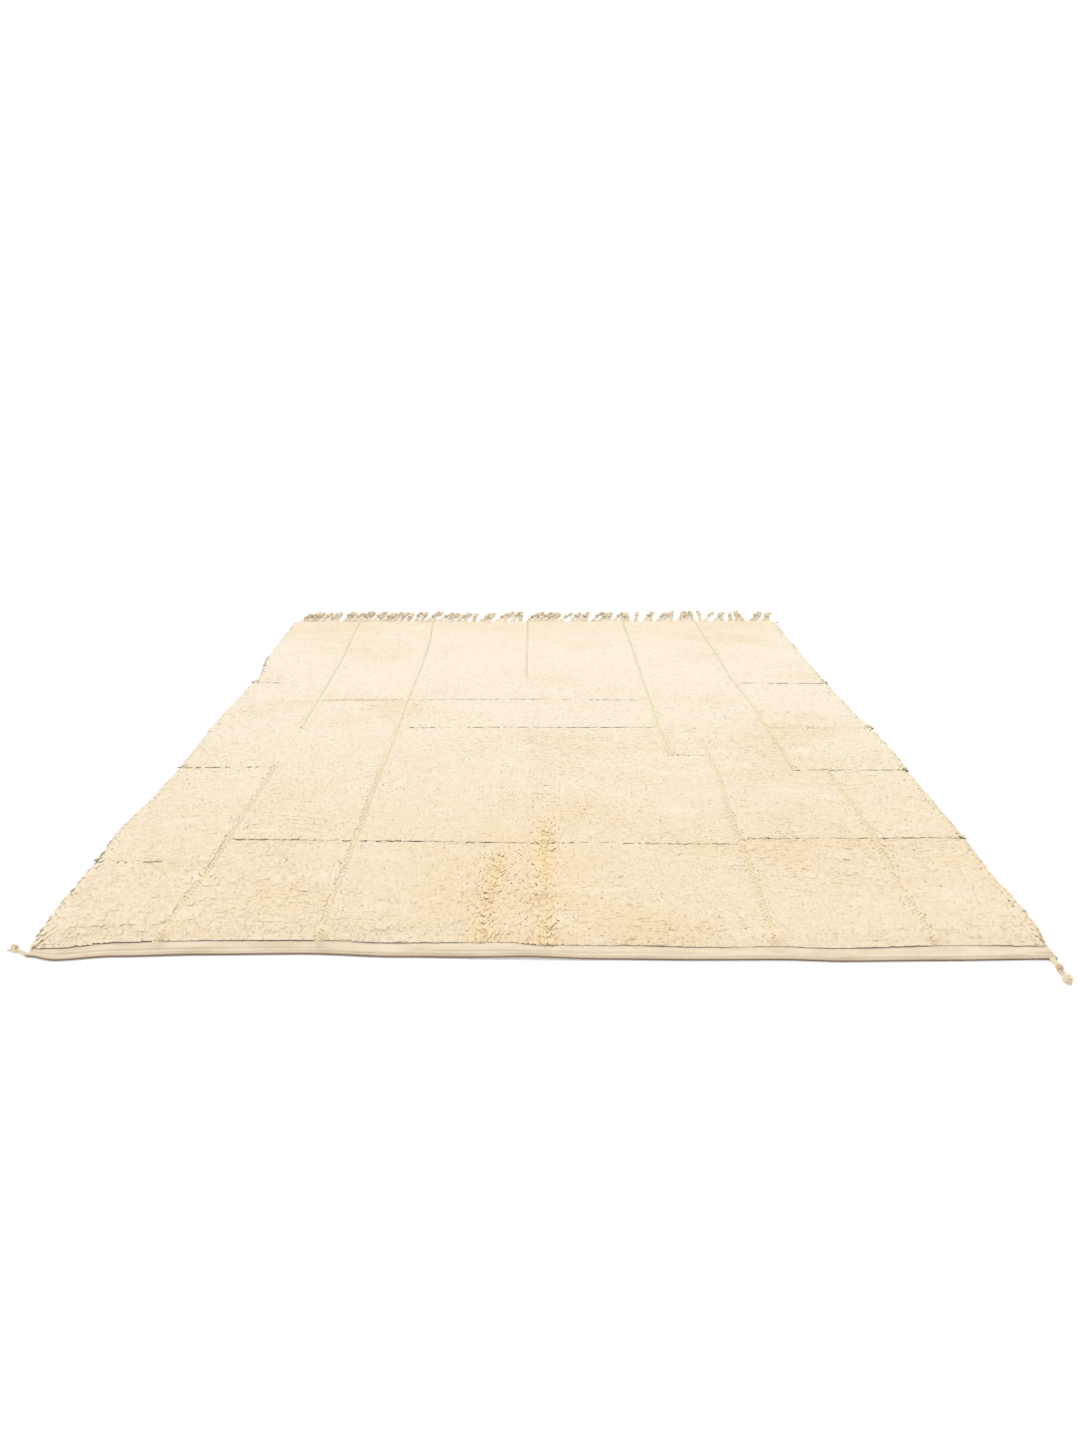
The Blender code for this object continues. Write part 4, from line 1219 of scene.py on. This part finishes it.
        # The rim's tufts get light painted shade
        marks = {"tone": tone, "crease": none, "shade": np.full(count, 0.15), "open": none}
        return Setting(world(across, reach, height), turns, sizes, forms, marks).within(kept)

    def build(self) -> list[bpy.types.Object]:
        """Makes the pile, in bands from the near end to the far one, and the rim's own tufts."""
        chance = random.Random(self.seed)
        forms = [
            shape.build(f"tuft_form_{number}", self.end_drop, chance)
            for number, shape in enumerate(self.shapes + self.feathers)
        ]
        scatter = Scatter(forms)
        whole = self.setting()
        ends = np.quantile(whole.places[:, 1], np.linspace(0.0, 1.0, len(PILE_BANDS) + 1))
        ends[0], ends[-1] = -BEYOND, BEYOND
        made = []
        for name, low, high in zip(PILE_BANDS, ends, ends[1:]):
            chosen = (whole.places[:, 1] >= low) & (whole.places[:, 1] < high)
            made.append(scatter.build(name, whole.within(chosen)))
        made.append(scatter.build("pile_rim", self.rim_setting()))
        for form in forms:
            drop_object(form)
        for piece in made:
            plan_map(piece.data)
            soften(piece.data, self.plush_rim if piece.name == "pile_rim" else self.plush)
        LOG.info("tufts: %d", len(whole.places))
        return made


@dataclass
class BareKnots:
    """The rows of bare knots on the floor of each lengthwise line."""

    plan: PilePlan
    pitch: float = 0.0160
    beside: float = 0.0030
    length: float = 0.0052
    width: float = 0.0034
    height: float = 0.0022
    raised: float = 0.0006
    jitter: float = 0.0015
    slant: float = 0.5
    plush: float = 1.0
    seed: int = 23

    def build(self) -> bpy.types.Object:
        """Makes all the knots as one piece."""
        chance = np.random.default_rng(self.seed)
        rows = []
        for line in LENGTHWISE.values():
            for side in (-1.0, 1.0):
                reach = np.arange(0.062, CLOTH_LENGTH - 0.01, self.pitch) + side * self.pitch / 4.0
                reach = reach + chance.uniform(-self.jitter, self.jitter, len(reach))
                across = eased(line.path, REACH, reach) + side * self.beside
                there = self.plan.presence(line, reach) > 0.5
                rows.append((across[there], reach[there], np.full(int(there.sum()), side)))
        across, reach, side = (np.concatenate(values) for values in zip(*rows))
        count = len(across)
        bench = bmesh.new()
        depth = bench.verts.layers.float.new("depth")
        shape = Matrix.Diagonal((self.width, self.length, self.height, 1.0))
        bmesh.ops.create_icosphere(bench, subdivisions=1, radius=1.0, matrix=shape)
        fibre = bench.verts.layers.float_vector.new("fibre")
        for vert in bench.verts:
            # Painted shade on each knot's lower half
            vert[depth] = 0.85 if vert.co.z > 0.0 else 0.40
            vert[fibre] = vert.co
        form = close_piece(bench, "knot_form")
        places = world(across, reach, self.plan.knot_floor(reach) + self.raised)
        turns = np.stack([chance.normal(0.0, 0.15, count), np.zeros(count), -self.slant * side], -1)
        sizes = chance.uniform(0.85, 1.15, (count, 1)) * np.ones((count, 3))
        marks = {
            "tone": chance.uniform(0.2, 0.9, count),
            "crease": np.zeros(count),
            # Painted shade, weaker where the lines grow shallow far away
            "shade": 0.8 - 0.5 * self.plan.shallowness(reach),
            "open": np.ones(count),
        }
        setting = Setting(places, turns, sizes, np.zeros(count, np.int32), marks)
        made = Scatter([form]).build("bare_knots", setting)
        drop_object(form)
        plan_map(made.data)
        soften(made.data, self.plush)
        return made


@dataclass
class Heading:
    """The flat-woven strip at the near end, ribbed by its warps."""

    cord: float = 0.0095
    thickness: float = 0.006
    rib_pitch: float = 0.0056
    rib_height: float = 0.0009
    rib_parts: int = 4
    rows: tuple[float, ...] = (0.0, 0.245, 0.270, 0.295, 0.50, 0.75, 1.0)
    grooved_row: int = 2
    groove: float = 0.0032
    lift_height: float = 0.004
    lift_centre: float = -0.03
    lift_half_width: float = 0.22

    def lift(self, across: Array) -> Array:
        """How far the front edge stands off the floor in its one soft wave."""
        share = np.clip(np.abs(across - self.lift_centre) / self.lift_half_width, 0.0, 1.0)
        return self.lift_height * np.cos(share * math.pi / 2.0) ** 2

    def build(self) -> bpy.types.Object:
        """Makes the strip."""
        low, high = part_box("heading")
        count = int((high.x - low.x) / self.rib_pitch) * self.rib_parts
        places = np.linspace(low.x, high.x, count + 1)
        ribs = np.abs(np.sin(np.arange(count + 1) * math.pi / self.rib_parts)) * self.rib_height
        front = eased(NEAR_EDGE, ACROSS, places) + self.cord
        back = eased(HEADING_END, ACROSS, places) - GAP
        uneven = 0.55 + 1.3 * grain(places, np.zeros_like(places), 4.5, 1.0, 30.5)
        groove = self.groove * np.clip(uneven, 0.0, 1.0)
        bench = bmesh.new()
        bmesh.ops.create_grid(bench, x_segments=count, y_segments=len(self.rows) - 1, size=1.0)
        for index, vert in enumerate(bench.verts):
            row, column = divmod(index, count + 1)
            share = self.rows[row]
            raised = self.lift(places[column]) * (1.0 - share) ** 2
            sunk = groove[column] * (row == self.grooved_row)
            top = self.thickness - self.rib_height + raised + ribs[column] - sunk
            reach = front[column] + (back[column] - front[column]) * share
            vert.co = world(places[column], reach, top)
        made = bmesh.ops.extrude_face_region(bench, geom=bench.faces[:])["geom"]
        below = [item for item in made if isinstance(item, bmesh.types.BMVert)]
        bmesh.ops.translate(bench, verts=below, vec=Vector((0.0, 0.0, -self.thickness + self.rib_height)))
        for vert in below:
            vert.co.z = max(vert.co.z, 0.0)
        return close_piece(bench, "woven_heading")


@dataclass
class Strand:
    """One yarn: the points of its middle line and its radius at each."""

    points: Array
    radii: Array


def sweep(name: str, strands: Sequence[Strand], sides: int) -> bpy.types.Object:
    """Makes tubes along strands, closed at both ends, as one piece.

    Args:
        name: the piece's name.
        strands: the yarns.
        sides: how many sides each tube has, four or more, and even.

    Returns:
        The piece.
    """
    curve = bpy.data.curves.new(name, "CURVE")
    curve.dimensions = "3D"
    curve.bevel_depth = 1.0
    curve.bevel_resolution = (sides - 4) // 2
    curve.use_fill_caps = True
    for strand in strands:
        spline = curve.splines.new("POLY")
        spline.points.add(len(strand.points) - 1)
        rows = np.concatenate([strand.points, np.ones((len(strand.points), 1))], 1)
        spline.points.foreach_set("co", rows.ravel())
        spline.points.foreach_set("radius", strand.radii)
    holder = add_object(name, curve)
    settled = holder.evaluated_get(bpy.context.evaluated_depsgraph_get())
    mesh = bpy.data.meshes.new_from_object(settled)
    bpy.data.objects.remove(holder, do_unlink=True)
    bpy.data.curves.remove(curve)
    bench = bmesh.new()
    bench.from_mesh(mesh)
    bpy.data.meshes.remove(mesh)
    bmesh.ops.remove_doubles(bench, verts=bench.verts[:], dist=1e-6)
    return close_piece(bench, name)


def unit(way: Array) -> Array:
    """The same way, one metre long."""
    return way / np.linalg.norm(way)


def on_line(middle: Array, keys: Array, at: float) -> Array:
    """The place on a line of points at which the keys of those points reach this value."""
    return np.array([np.interp(at, keys, middle[:, axis]) for axis in range(3)])


def twisted(middle: Array, plies: int, spread: Array, radius: Array, turn: Array) -> list[Strand]:
    """The plies of a twisted yarn.

    Args:
        middle: the points of the yarn's middle line.
        plies: how many plies it has.
        spread: how far each ply's own middle is from that line, at each point.
        radius: the radius of a ply at each point.
        turn: how far the twist has gone at each point, in radians.

    Returns:
        The plies.
    """
    ahead = np.gradient(middle, axis=0)
    ahead /= np.linalg.norm(ahead, axis=1, keepdims=True)
    side = np.cross(ahead, UP)
    side /= np.maximum(np.linalg.norm(side, axis=1, keepdims=True), 1e-9)
    up = np.cross(side, ahead)
    found = []
    for ply in range(plies):
        angle = (turn + TURN * ply / plies)[:, None]
        places = middle + (side * np.cos(angle) + up * np.sin(angle)) * spread[:, None]
        found.append(Strand(places, radius))
    return found


def lengths(middle: Array) -> Array:
    """How far along a line each of its points is."""
    steps = np.linalg.norm(np.diff(middle, axis=0), axis=1)
    return np.concatenate([[0.0], np.cumsum(steps)])


@dataclass
class EdgeCord:
    """The two-ply cord that is bound along the heading's outer edge."""

    heading: Heading
    radius: float = 0.0046
    ply_radius: float = 0.0027
    twist_pitch: float = 0.017
    points_per_turn: int = 7

    def build(self) -> bpy.types.Object:
        """Makes the cord."""
        low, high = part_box("edge_cord")
        count = int((high.x - low.x) / self.twist_pitch * self.points_per_turn)
        across = np.linspace(low.x, high.x, count)
        reach = eased(NEAR_EDGE, ACROSS, across) + self.radius
        middle = world(across, reach, self.radius + self.heading.lift(across))
        spread = np.full(count, self.radius - self.ply_radius)
        turn = lengths(middle) / self.twist_pitch * TURN
        plies = twisted(middle, 2, spread, np.full(count, self.ply_radius), turn)
        return sweep("twisted_edge_cord", plies, 6)


class Group(NamedTuple):
    """Tassels of the fringe that lie together: where the first and the last are, and how many they are."""

    start: float
    end: float
    tassels: int


@dataclass
class Fringe:
    """The woven strip beyond the pile and the warps that are tied into tassels on it."""

    strip_depth: float = 0.034
    strip_thickness: float = 0.005
    rib_pitch: float = 0.0056
    rib_height: float = 0.0006
    length: float = 0.158
    length_spread: float = 0.020
    fan: tuple[float, ...] = (-0.0135, -0.008, -0.003, 0.003, 0.008, 0.0135)
    ply_radius: float = 0.0029
    ply_spread: float = 0.0044
    twist_pitch: float = 0.040
    stations: int = 20
    sway: tuple[float, float] = (0.000, 0.070)
    curl: float = 0.015
    fray: float = 0.034
    fray_count: int = 8
    highest: float = 0.0340
    overlap: float = 0.004
    at_root: float = 0.0070
    wave: float = 0.004
    knot_turns: tuple[float, ...] = (-0.022, 0.0, 0.022)
    knot_slant: float = 0.35
    knot_radius: float = 0.0084
    knot_yarn: float = 0.0027
    knot_least: float = 0.0028
    fray_radii: tuple[float, ...] = (0.0020, 0.0019, 0.0015, 0.0008)
    fray_least: float = 0.0020
    root_jitter: float = 0.003
    seed: int = 31
    groups: tuple[Group, ...] = (
        *(Group(-1.215, -1.200, 2), Group(-1.172, -1.038, 5), Group(-0.996, -0.975, 2)),
        *(Group(-0.954, -0.923, 2), Group(-0.902, -0.818, 4), Group(-0.800, -0.739, 3)),
        *(Group(-0.702, -0.592, 4), Group(-0.571, -0.445, 5), Group(-0.408, -0.366, 2)),
        *(Group(-0.324, -0.324, 1), Group(-0.290, -0.268, 2), Group(-0.250, -0.082, 5)),
        *(Group(-0.040, 0.129, 7), Group(0.187, 0.187, 1), Group(0.208, 0.232, 2)),
        *(Group(0.262, 0.329, 3), Group(0.362, 0.382, 2), Group(0.405, 0.405, 1)),
        *(Group(0.445, 0.635, 6), Group(0.671, 0.793, 5), Group(0.822, 0.864, 2)),
        *(Group(0.882, 0.903, 1), Group(0.935, 0.935, 1), Group(0.972, 1.051, 3)),
        *(Group(1.080, 1.120, 2), Group(1.145, 1.215, 3)),
    )

    def build_strip(self) -> bpy.types.Object:
        """Makes the woven strip."""
        low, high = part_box("fringe")
        edge = 0.007
        count = int((high.x - low.x) / self.rib_pitch) * 2
        places = np.linspace(max(low.x, -HALF_WIDTH + edge), min(high.x, HALF_WIDTH - 3.0 * edge), count + 1)
        front = eased(FAR_EDGE, ACROSS, places) + GAP
        bench = bmesh.new()
        bmesh.ops.create_grid(bench, x_segments=count, y_segments=3, size=1.0)
        for index, vert in enumerate(bench.verts):
            row, column = divmod(index, count + 1)
            top = self.strip_thickness - self.rib_height * (column % 2)
            vert.co = world(places[column], front[column] + self.strip_depth * row / 3.0, top)
        made = bmesh.ops.extrude_face_region(bench, geom=bench.faces[:])["geom"]
        for vert in (item for item in made if isinstance(item, bmesh.types.BMVert)):
            vert.co.z = 0.0
        return close_piece(bench, "fringe_strip")

    def tassel(self, root: float, chance: random.Random) -> tuple[list[Strand], list[Strand]]:
        """Makes one tassel.

        Args:
            root: where it starts, across the rug.
            chance: what varies it.

        Returns:
            The warps that draw together into a knot with a loose tail, and the knot's own turns.
        """
        total = self.length + chance.uniform(-1.0, 1.0) * self.length_spread
        share = np.linspace(0.0, 1.0, self.stations)
        sway = chance.uniform(*self.sway)
        wave = chance.uniform(-self.wave, self.wave)
        knot = chance.uniform(0.44, 0.58)
        curl = chance.uniform(0.35, 1.0) * self.curl
        start = float(eased(FAR_EDGE, ACROSS, np.array([root]))[0]) + self.strip_depth - self.overlap
        across = root + sway * share**1.1 + wave * np.sin(share * TURN)
        reach = start + total * share * math.sqrt(1.0 - (sway / total) ** 2)
        height = self.at_root + curl * smooth(share / knot) * (1.0 - 0.35 * ramp(0.75, 1.0, share))
        middle = world(across, reach, height)
        apart = 1.0 - ramp(0.0, knot, share)
        tail = ramp(knot, 1.0, share)
        tight = np.exp(-(((share - knot) / 0.05) ** 2))
        angle = lengths(middle) / self.twist_pitch * TURN + chance.uniform(0.0, math.pi)
        made = []
        for number, side in enumerate(self.fan):
            phase = angle + number * TURN / len(self.fan)
            spread = self.ply_spread * (1.0 - apart) * (1.0 - 0.35 * tight + 1.4 * tail)
            places = middle.copy()
            places[:, 0] += side * apart + spread * np.cos(phase)
            places[:, 2] = np.maximum(places[:, 2] + spread * np.sin(phase), self.ply_radius)
            made.append(Strand(places, self.ply_radius * (1.0 - 0.35 * tail)))
        made += self.frayed(middle[-1], middle[-1] - middle[-3], chance)
        return made, self.knot(middle, share, knot, chance)

    def knot(self, middle: Array, share: Array, at: float, chance: random.Random) -> list[Strand]:
        """The turns of yarn round a tassel where it is knotted."""
        found = []
        for offset in self.knot_turns:
            centre = on_line(middle, share, at + offset)
            ahead = unit(on_line(middle, share, at + 0.04) - centre)
            side = unit(np.cross(ahead, UP))
            up = np.cross(side, ahead)
            angle = np.linspace(0.0, TURN, 9)[:, None]
            slant = chance.uniform(-self.knot_slant, self.knot_slant)
            round_it = side * np.cos(angle) + up * np.sin(angle) + ahead * np.sin(angle) * slant
            places = centre + round_it * self.knot_radius
            places[:, 2] = np.maximum(places[:, 2], self.knot_least)
            found.append(Strand(places, np.full(len(places), self.knot_yarn)))
        return found

    def frayed(self, tip: Array, ahead: Array, chance: random.Random) -> list[Strand]:
        """The loose fibres beyond the last knot."""
        ahead = unit(ahead)
        side = unit(np.cross(ahead, UP))
        found = []
        for number in range(self.fray_count):
            fan = (number / (self.fray_count - 1) - 0.5) * 1.5 + chance.uniform(-0.15, 0.15)
            out = ahead * math.cos(fan) + side * math.sin(fan)
            share = np.linspace(0.0, 1.0, len(self.fray_radii))[:, None]
            reach = self.fray * chance.uniform(0.6, 1.0)
            sag = UP * chance.uniform(-0.35, 0.15) * reach
            places = tip - ahead * 0.003 + out * reach * share + sag * share**2
            places[:, 2] = np.clip(places[:, 2], self.fray_least, self.highest)
            found.append(Strand(places, np.array(self.fray_radii)))
        return found

    def build(self) -> tuple[bpy.types.Object, bpy.types.Object, bpy.types.Object]:
        """Makes the strip, its tassels and their knots."""
        chance = random.Random(self.seed)
        strands, tied = [], []
        for group in self.groups:
            for number in range(group.tassels):
                share = number / max(group.tassels - 1, 1)
                root = group.start + (group.end - group.start) * share
                root += chance.uniform(-self.root_jitter, self.root_jitter)
                warps, knots = self.tassel(root, chance)
                strands += warps
                tied += knots
        LOG.info("fringe tassels: %d", sum(group.tassels for group in self.groups))
        return self.build_strip(), sweep("fringe_tassels", strands, 4), sweep("fringe_knots", tied, 4)


@dataclass
class CornerTassel:
    """A plaited cord end at a corner of the heading, with its knots and loose ends."""

    name: str
    node: str
    path: tuple[Point, ...]
    knots: tuple[float, ...]
    ends: tuple[tuple[float, float], ...]
    at_right: bool
    strand_radius: float = 0.0033
    last_knot: float = 1.35
    radius: float = 0.0060
    braid_pitch: float = 0.024
    braid_half: float = 0.0036
    braid_rise: float = 0.0018
    knot_length: float = 0.0055
    knot_lift: float = 0.0015
    wrap_step: float = 0.0035
    wrap_radius: float = 0.0068
    wrap_lift: float = 0.0022
    wrap_yarn: float = 0.0028
    loose_high: float = 0.0044
    loose_fall: float = 0.0022
    loose_apart: float = 0.0012
    seed: int = 5

    def middle(self) -> Array:
        """The plait's middle line, through the points of the plan, lying on the floor."""
        low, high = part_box("edge_cord")
        start = high.x if self.at_right else low.x
        near = float(eased(NEAR_EDGE, ACROSS, np.array([start]))[0]) + 0.004
        places = np.array([(start + step.across, near + step.reach) for step in self.path])
        share = np.linspace(0.0, 1.0, len(places))
        fine = np.linspace(0.0, 1.0, 60)
        smoothed = np.stack([np.interp(fine, share, places[:, axis]) for axis in range(2)], 1)
        for _ in range(6):
            smoothed[1:-1] = (smoothed[:-2] + 2.0 * smoothed[1:-1] + smoothed[2:]) / 4.0
        return world(smoothed[:, 0], smoothed[:, 1], np.full(len(fine), self.radius))

    def build(self) -> bpy.types.Object:
        """Makes the tassel."""
        chance = random.Random(self.seed)
        middle = self.middle()
        gone = lengths(middle)
        share = gone / gone[-1]
        swell = sum(np.exp(-(((gone - knot * gone[-1]) / self.knot_length) ** 2)) for knot in self.knots)
        swell = np.minimum(swell, 1.0)
        ahead = np.gradient(middle, axis=0)
        ahead /= np.linalg.norm(ahead, axis=1, keepdims=True)
        side = np.cross(ahead, UP)
        strands = []
        for ply in range(3):
            phase = gone / self.braid_pitch * TURN + ply * TURN / 3.0
            wide = self.braid_half * np.sin(phase) * (1.0 - 0.4 * swell)
            high = self.braid_rise * np.sin(2.0 * phase)
            places = middle + side * wide[:, None]
            places[:, 2] += high + self.knot_lift * swell
            strands.append(Strand(places, self.strand_radius * (1.0 + 0.5 * swell) * (1.0 - 0.1 * share)))
        for number, knot in enumerate(self.knots):
            size = self.last_knot if number == len(self.knots) - 1 else 1.0
            strands += self.wraps(middle, gone, knot * gone[-1], size)
        strands += self.loose(middle[-1], ahead[-1], chance)
        return sweep(self.name, strands, 6)

    def wraps(self, middle: Array, gone: Array, at: float, size: float) -> list[Strand]:
        """The turns of yarn that make a knot."""
        found = []
        for offset, slant in ((-self.wrap_step, 0.35), (0.0, -0.30), (self.wrap_step, 0.30)):
            centre = on_line(middle, gone, at + offset)
            before, after = (on_line(middle, gone, at + offset + step) for step in (-0.002, 0.002))
            ahead = unit(after - before)
            side = np.cross(ahead, UP)
            angle = np.linspace(0.0, TURN, 13)[:, None]
            round_it = side * np.cos(angle) + UP * np.sin(angle) + ahead * np.sin(angle + 0.6) * slant
            places = centre + round_it * self.wrap_radius * size + UP * self.wrap_lift
            places[:, 2] = np.maximum(places[:, 2], self.wrap_yarn * size)
            found.append(Strand(places, np.full(len(places), self.wrap_yarn * size)))
        return found

    def loose(self, tip: Array, ahead: Array, chance: random.Random) -> list[Strand]:
        """The loose ends beyond the plait, each a small spread of yarn lying on the floor."""
        found = []
        for turn, reach in self.ends:
            for part in range(4):
                angle = math.radians(turn) + (part - 1.5) * 0.13
                across = ahead[0] * math.cos(angle) - ahead[1] * math.sin(angle)
                out = np.array([across, ahead[0] * math.sin(angle) + ahead[1] * math.cos(angle), 0.0])
                share = np.linspace(0.0, 1.0, 7)[:, None]
                length = reach * chance.uniform(0.85, 1.05)
                places = tip - ahead * 0.003 + out * length * share
                places[:, 2] = self.loose_high - self.loose_fall * share[:, 0] + self.loose_apart * (part % 2)
                bend = chance.uniform(-0.12, 0.12) * length * np.sin(share[:, 0] * math.pi)
                places[:, 0] += bend * out[1]
                places[:, 1] -= bend * out[0]
                found.append(Strand(places, np.linspace(0.0020, 0.0011, 7)))
        return found


@dataclass
class Studio:
    """The pale floor, the soft light and the camera."""

    camera_place: tuple[float, float, float] = (-0.012, -3.72, 1.425)
    pitch_degrees: float = 20.3
    turned_degrees: float = 0.38
    lens: float = 26.25
    sensor: float = 36.0
    floor_half: float = 120.0
    floor_glow: float = 0.20
    floor_drop: float = 0.0003
    sky: float = 1.08
    key: float = 1.2
    key_angle: float = 50.0
    key_from: tuple[float, float, float] = (-0.35, 0.80, 0.90)

    def build_camera(self) -> None:
        """Sets the camera where the photograph was taken from."""
        data = bpy.data.cameras.new("camera")
        data.lens = self.lens
        data.sensor_width = self.sensor
        camera = add_object("camera", data)
        pitch, turned = math.radians(self.pitch_degrees), math.radians(self.turned_degrees)
        level = math.cos(pitch)
        ahead = Vector((math.sin(turned) * level, math.cos(turned) * level, -math.sin(pitch)))
        camera.location = self.camera_place
        camera.rotation_euler = ahead.to_track_quat("-Z", "Y").to_euler()
        bpy.context.scene.camera = camera

    def build_floor(self) -> None:
        """Lays the floor, just under the rug."""
        bench = bmesh.new()
        bmesh.ops.create_grid(bench, x_segments=1, y_segments=1, size=self.floor_half)
        bmesh.ops.translate(bench, verts=bench.verts[:], vec=(0.0, 0.0, -self.floor_drop))
        floor = close_piece(bench, "floor")
        paint = NodeBench("floor_paint")
        paint.fix(Roughness=0.9, Specular_IOR_Level=0.1, Emission_Strength=self.floor_glow)
        paint.shader.inputs["Emission Color"].default_value = (1.0, 1.0, 1.0, 1.0)
        paint.shader.inputs["Base Color"].default_value = (0.92, 0.92, 0.92, 1.0)
        floor.data.materials.append(paint.material)

    def build_light(self) -> None:
        """Lights the scene evenly from a white sky, with one broad soft light from beyond the rug."""
        scene = bpy.context.scene
        scene.view_settings.view_transform = "Standard"
        sky = bpy.data.worlds.new("sky")
        sky.use_nodes = True
        background = sky.node_tree.nodes["Background"].inputs
        background["Color"].default_value = (1.0, 1.0, 1.0, 1.0)
        background["Strength"].default_value = self.sky
        scene.world = sky
        data = bpy.data.lights.new("far_light", "SUN")
        data.energy = self.key
        data.angle = math.radians(self.key_angle)
        light = add_object("far_light", data)
        light.rotation_euler = (-Vector(self.key_from)).to_track_quat("-Z", "Y").to_euler()

    def build(self) -> None:
        """Sets up the whole studio."""
        self.build_camera()
        self.build_floor()
        self.build_light()


RIGHT_PATH = points(
    *((-0.016, -0.0046), (-0.016, -0.013), (-0.015, -0.032)),
    *((-0.019, -0.054), (-0.020, -0.077), (-0.021, -0.100)),
)
LEFT_PATH = points((-0.0006, 0.002), (-0.011, 0.010), (-0.022, 0.018), (-0.033, 0.024), (-0.043, 0.027))


def settle(piece: bpy.types.Object, material: bpy.types.Material) -> None:
    """Dresses a finished piece and lets it ride on the rug's body."""
    piece.data.materials.clear()
    piece.data.materials.append(material)
    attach(piece, BODY)
    piece.data.calc_loop_triangles()
    LOG.info("%s: %d triangles", piece.name, len(piece.data.loop_triangles))


def main() -> None:
    """Builds the studio and every piece of the rug, in order."""
    Studio().build()
    plan = PilePlan()
    wool = PileWool().dress()
    weave = WovenWool().dress("flat_woven_wool")
    yarn = PliedYarn().dress("plied_yarn")
    warps = PliedYarn((0.800, 0.690, 0.520), (0.640, 0.515, 0.350)).dress("warp_yarn")

    ground, body = PileBed(plan).build()
    settle(ground, WovenWool(weft_per_metre=240.0).dress("woven_ground"))
    pile = [body, *Tufts(plan).build(), BareKnots(plan).build()]
    for piece in pile:
        settle(piece, wool)
    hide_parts("pile_cloth")

    heading = Heading()
    strip = heading.build()
    settle(strip, weave)
    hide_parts("heading")
    cord = EdgeCord(heading).build()
    settle(cord, WovenWool(underside=1.0).dress("bound_cord"))
    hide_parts("edge_cord")

    backing, tassels, tied = Fringe().build()
    settle(backing, weave)
    settle(tassels, warps)
    settle(tied, PliedYarn((0.740, 0.630, 0.470), (0.600, 0.480, 0.330)).dress("knotted_yarn"))
    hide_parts("fringe")

    corners = (
        CornerTassel(
            "right_corner_plait",
            "corner_tassel_right",
            RIGHT_PATH,
            (0.45, 0.93),
            ((-24.0, 0.010), (4.0, 0.013), (30.0, 0.010)),
            at_right=True,
        ),
        CornerTassel(
            "left_corner_plait",
            "corner_tassel_left",
            LEFT_PATH,
            (0.90,),
            ((-62.0, 0.017), (18.0, 0.019)),
            at_right=False,
            strand_radius=0.0023,
            last_knot=1.1,
        ),
    )
    for corner in corners:
        piece = corner.build()
        settle(piece, yarn)
        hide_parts(corner.node)


if __name__ == "__main__":
    main()
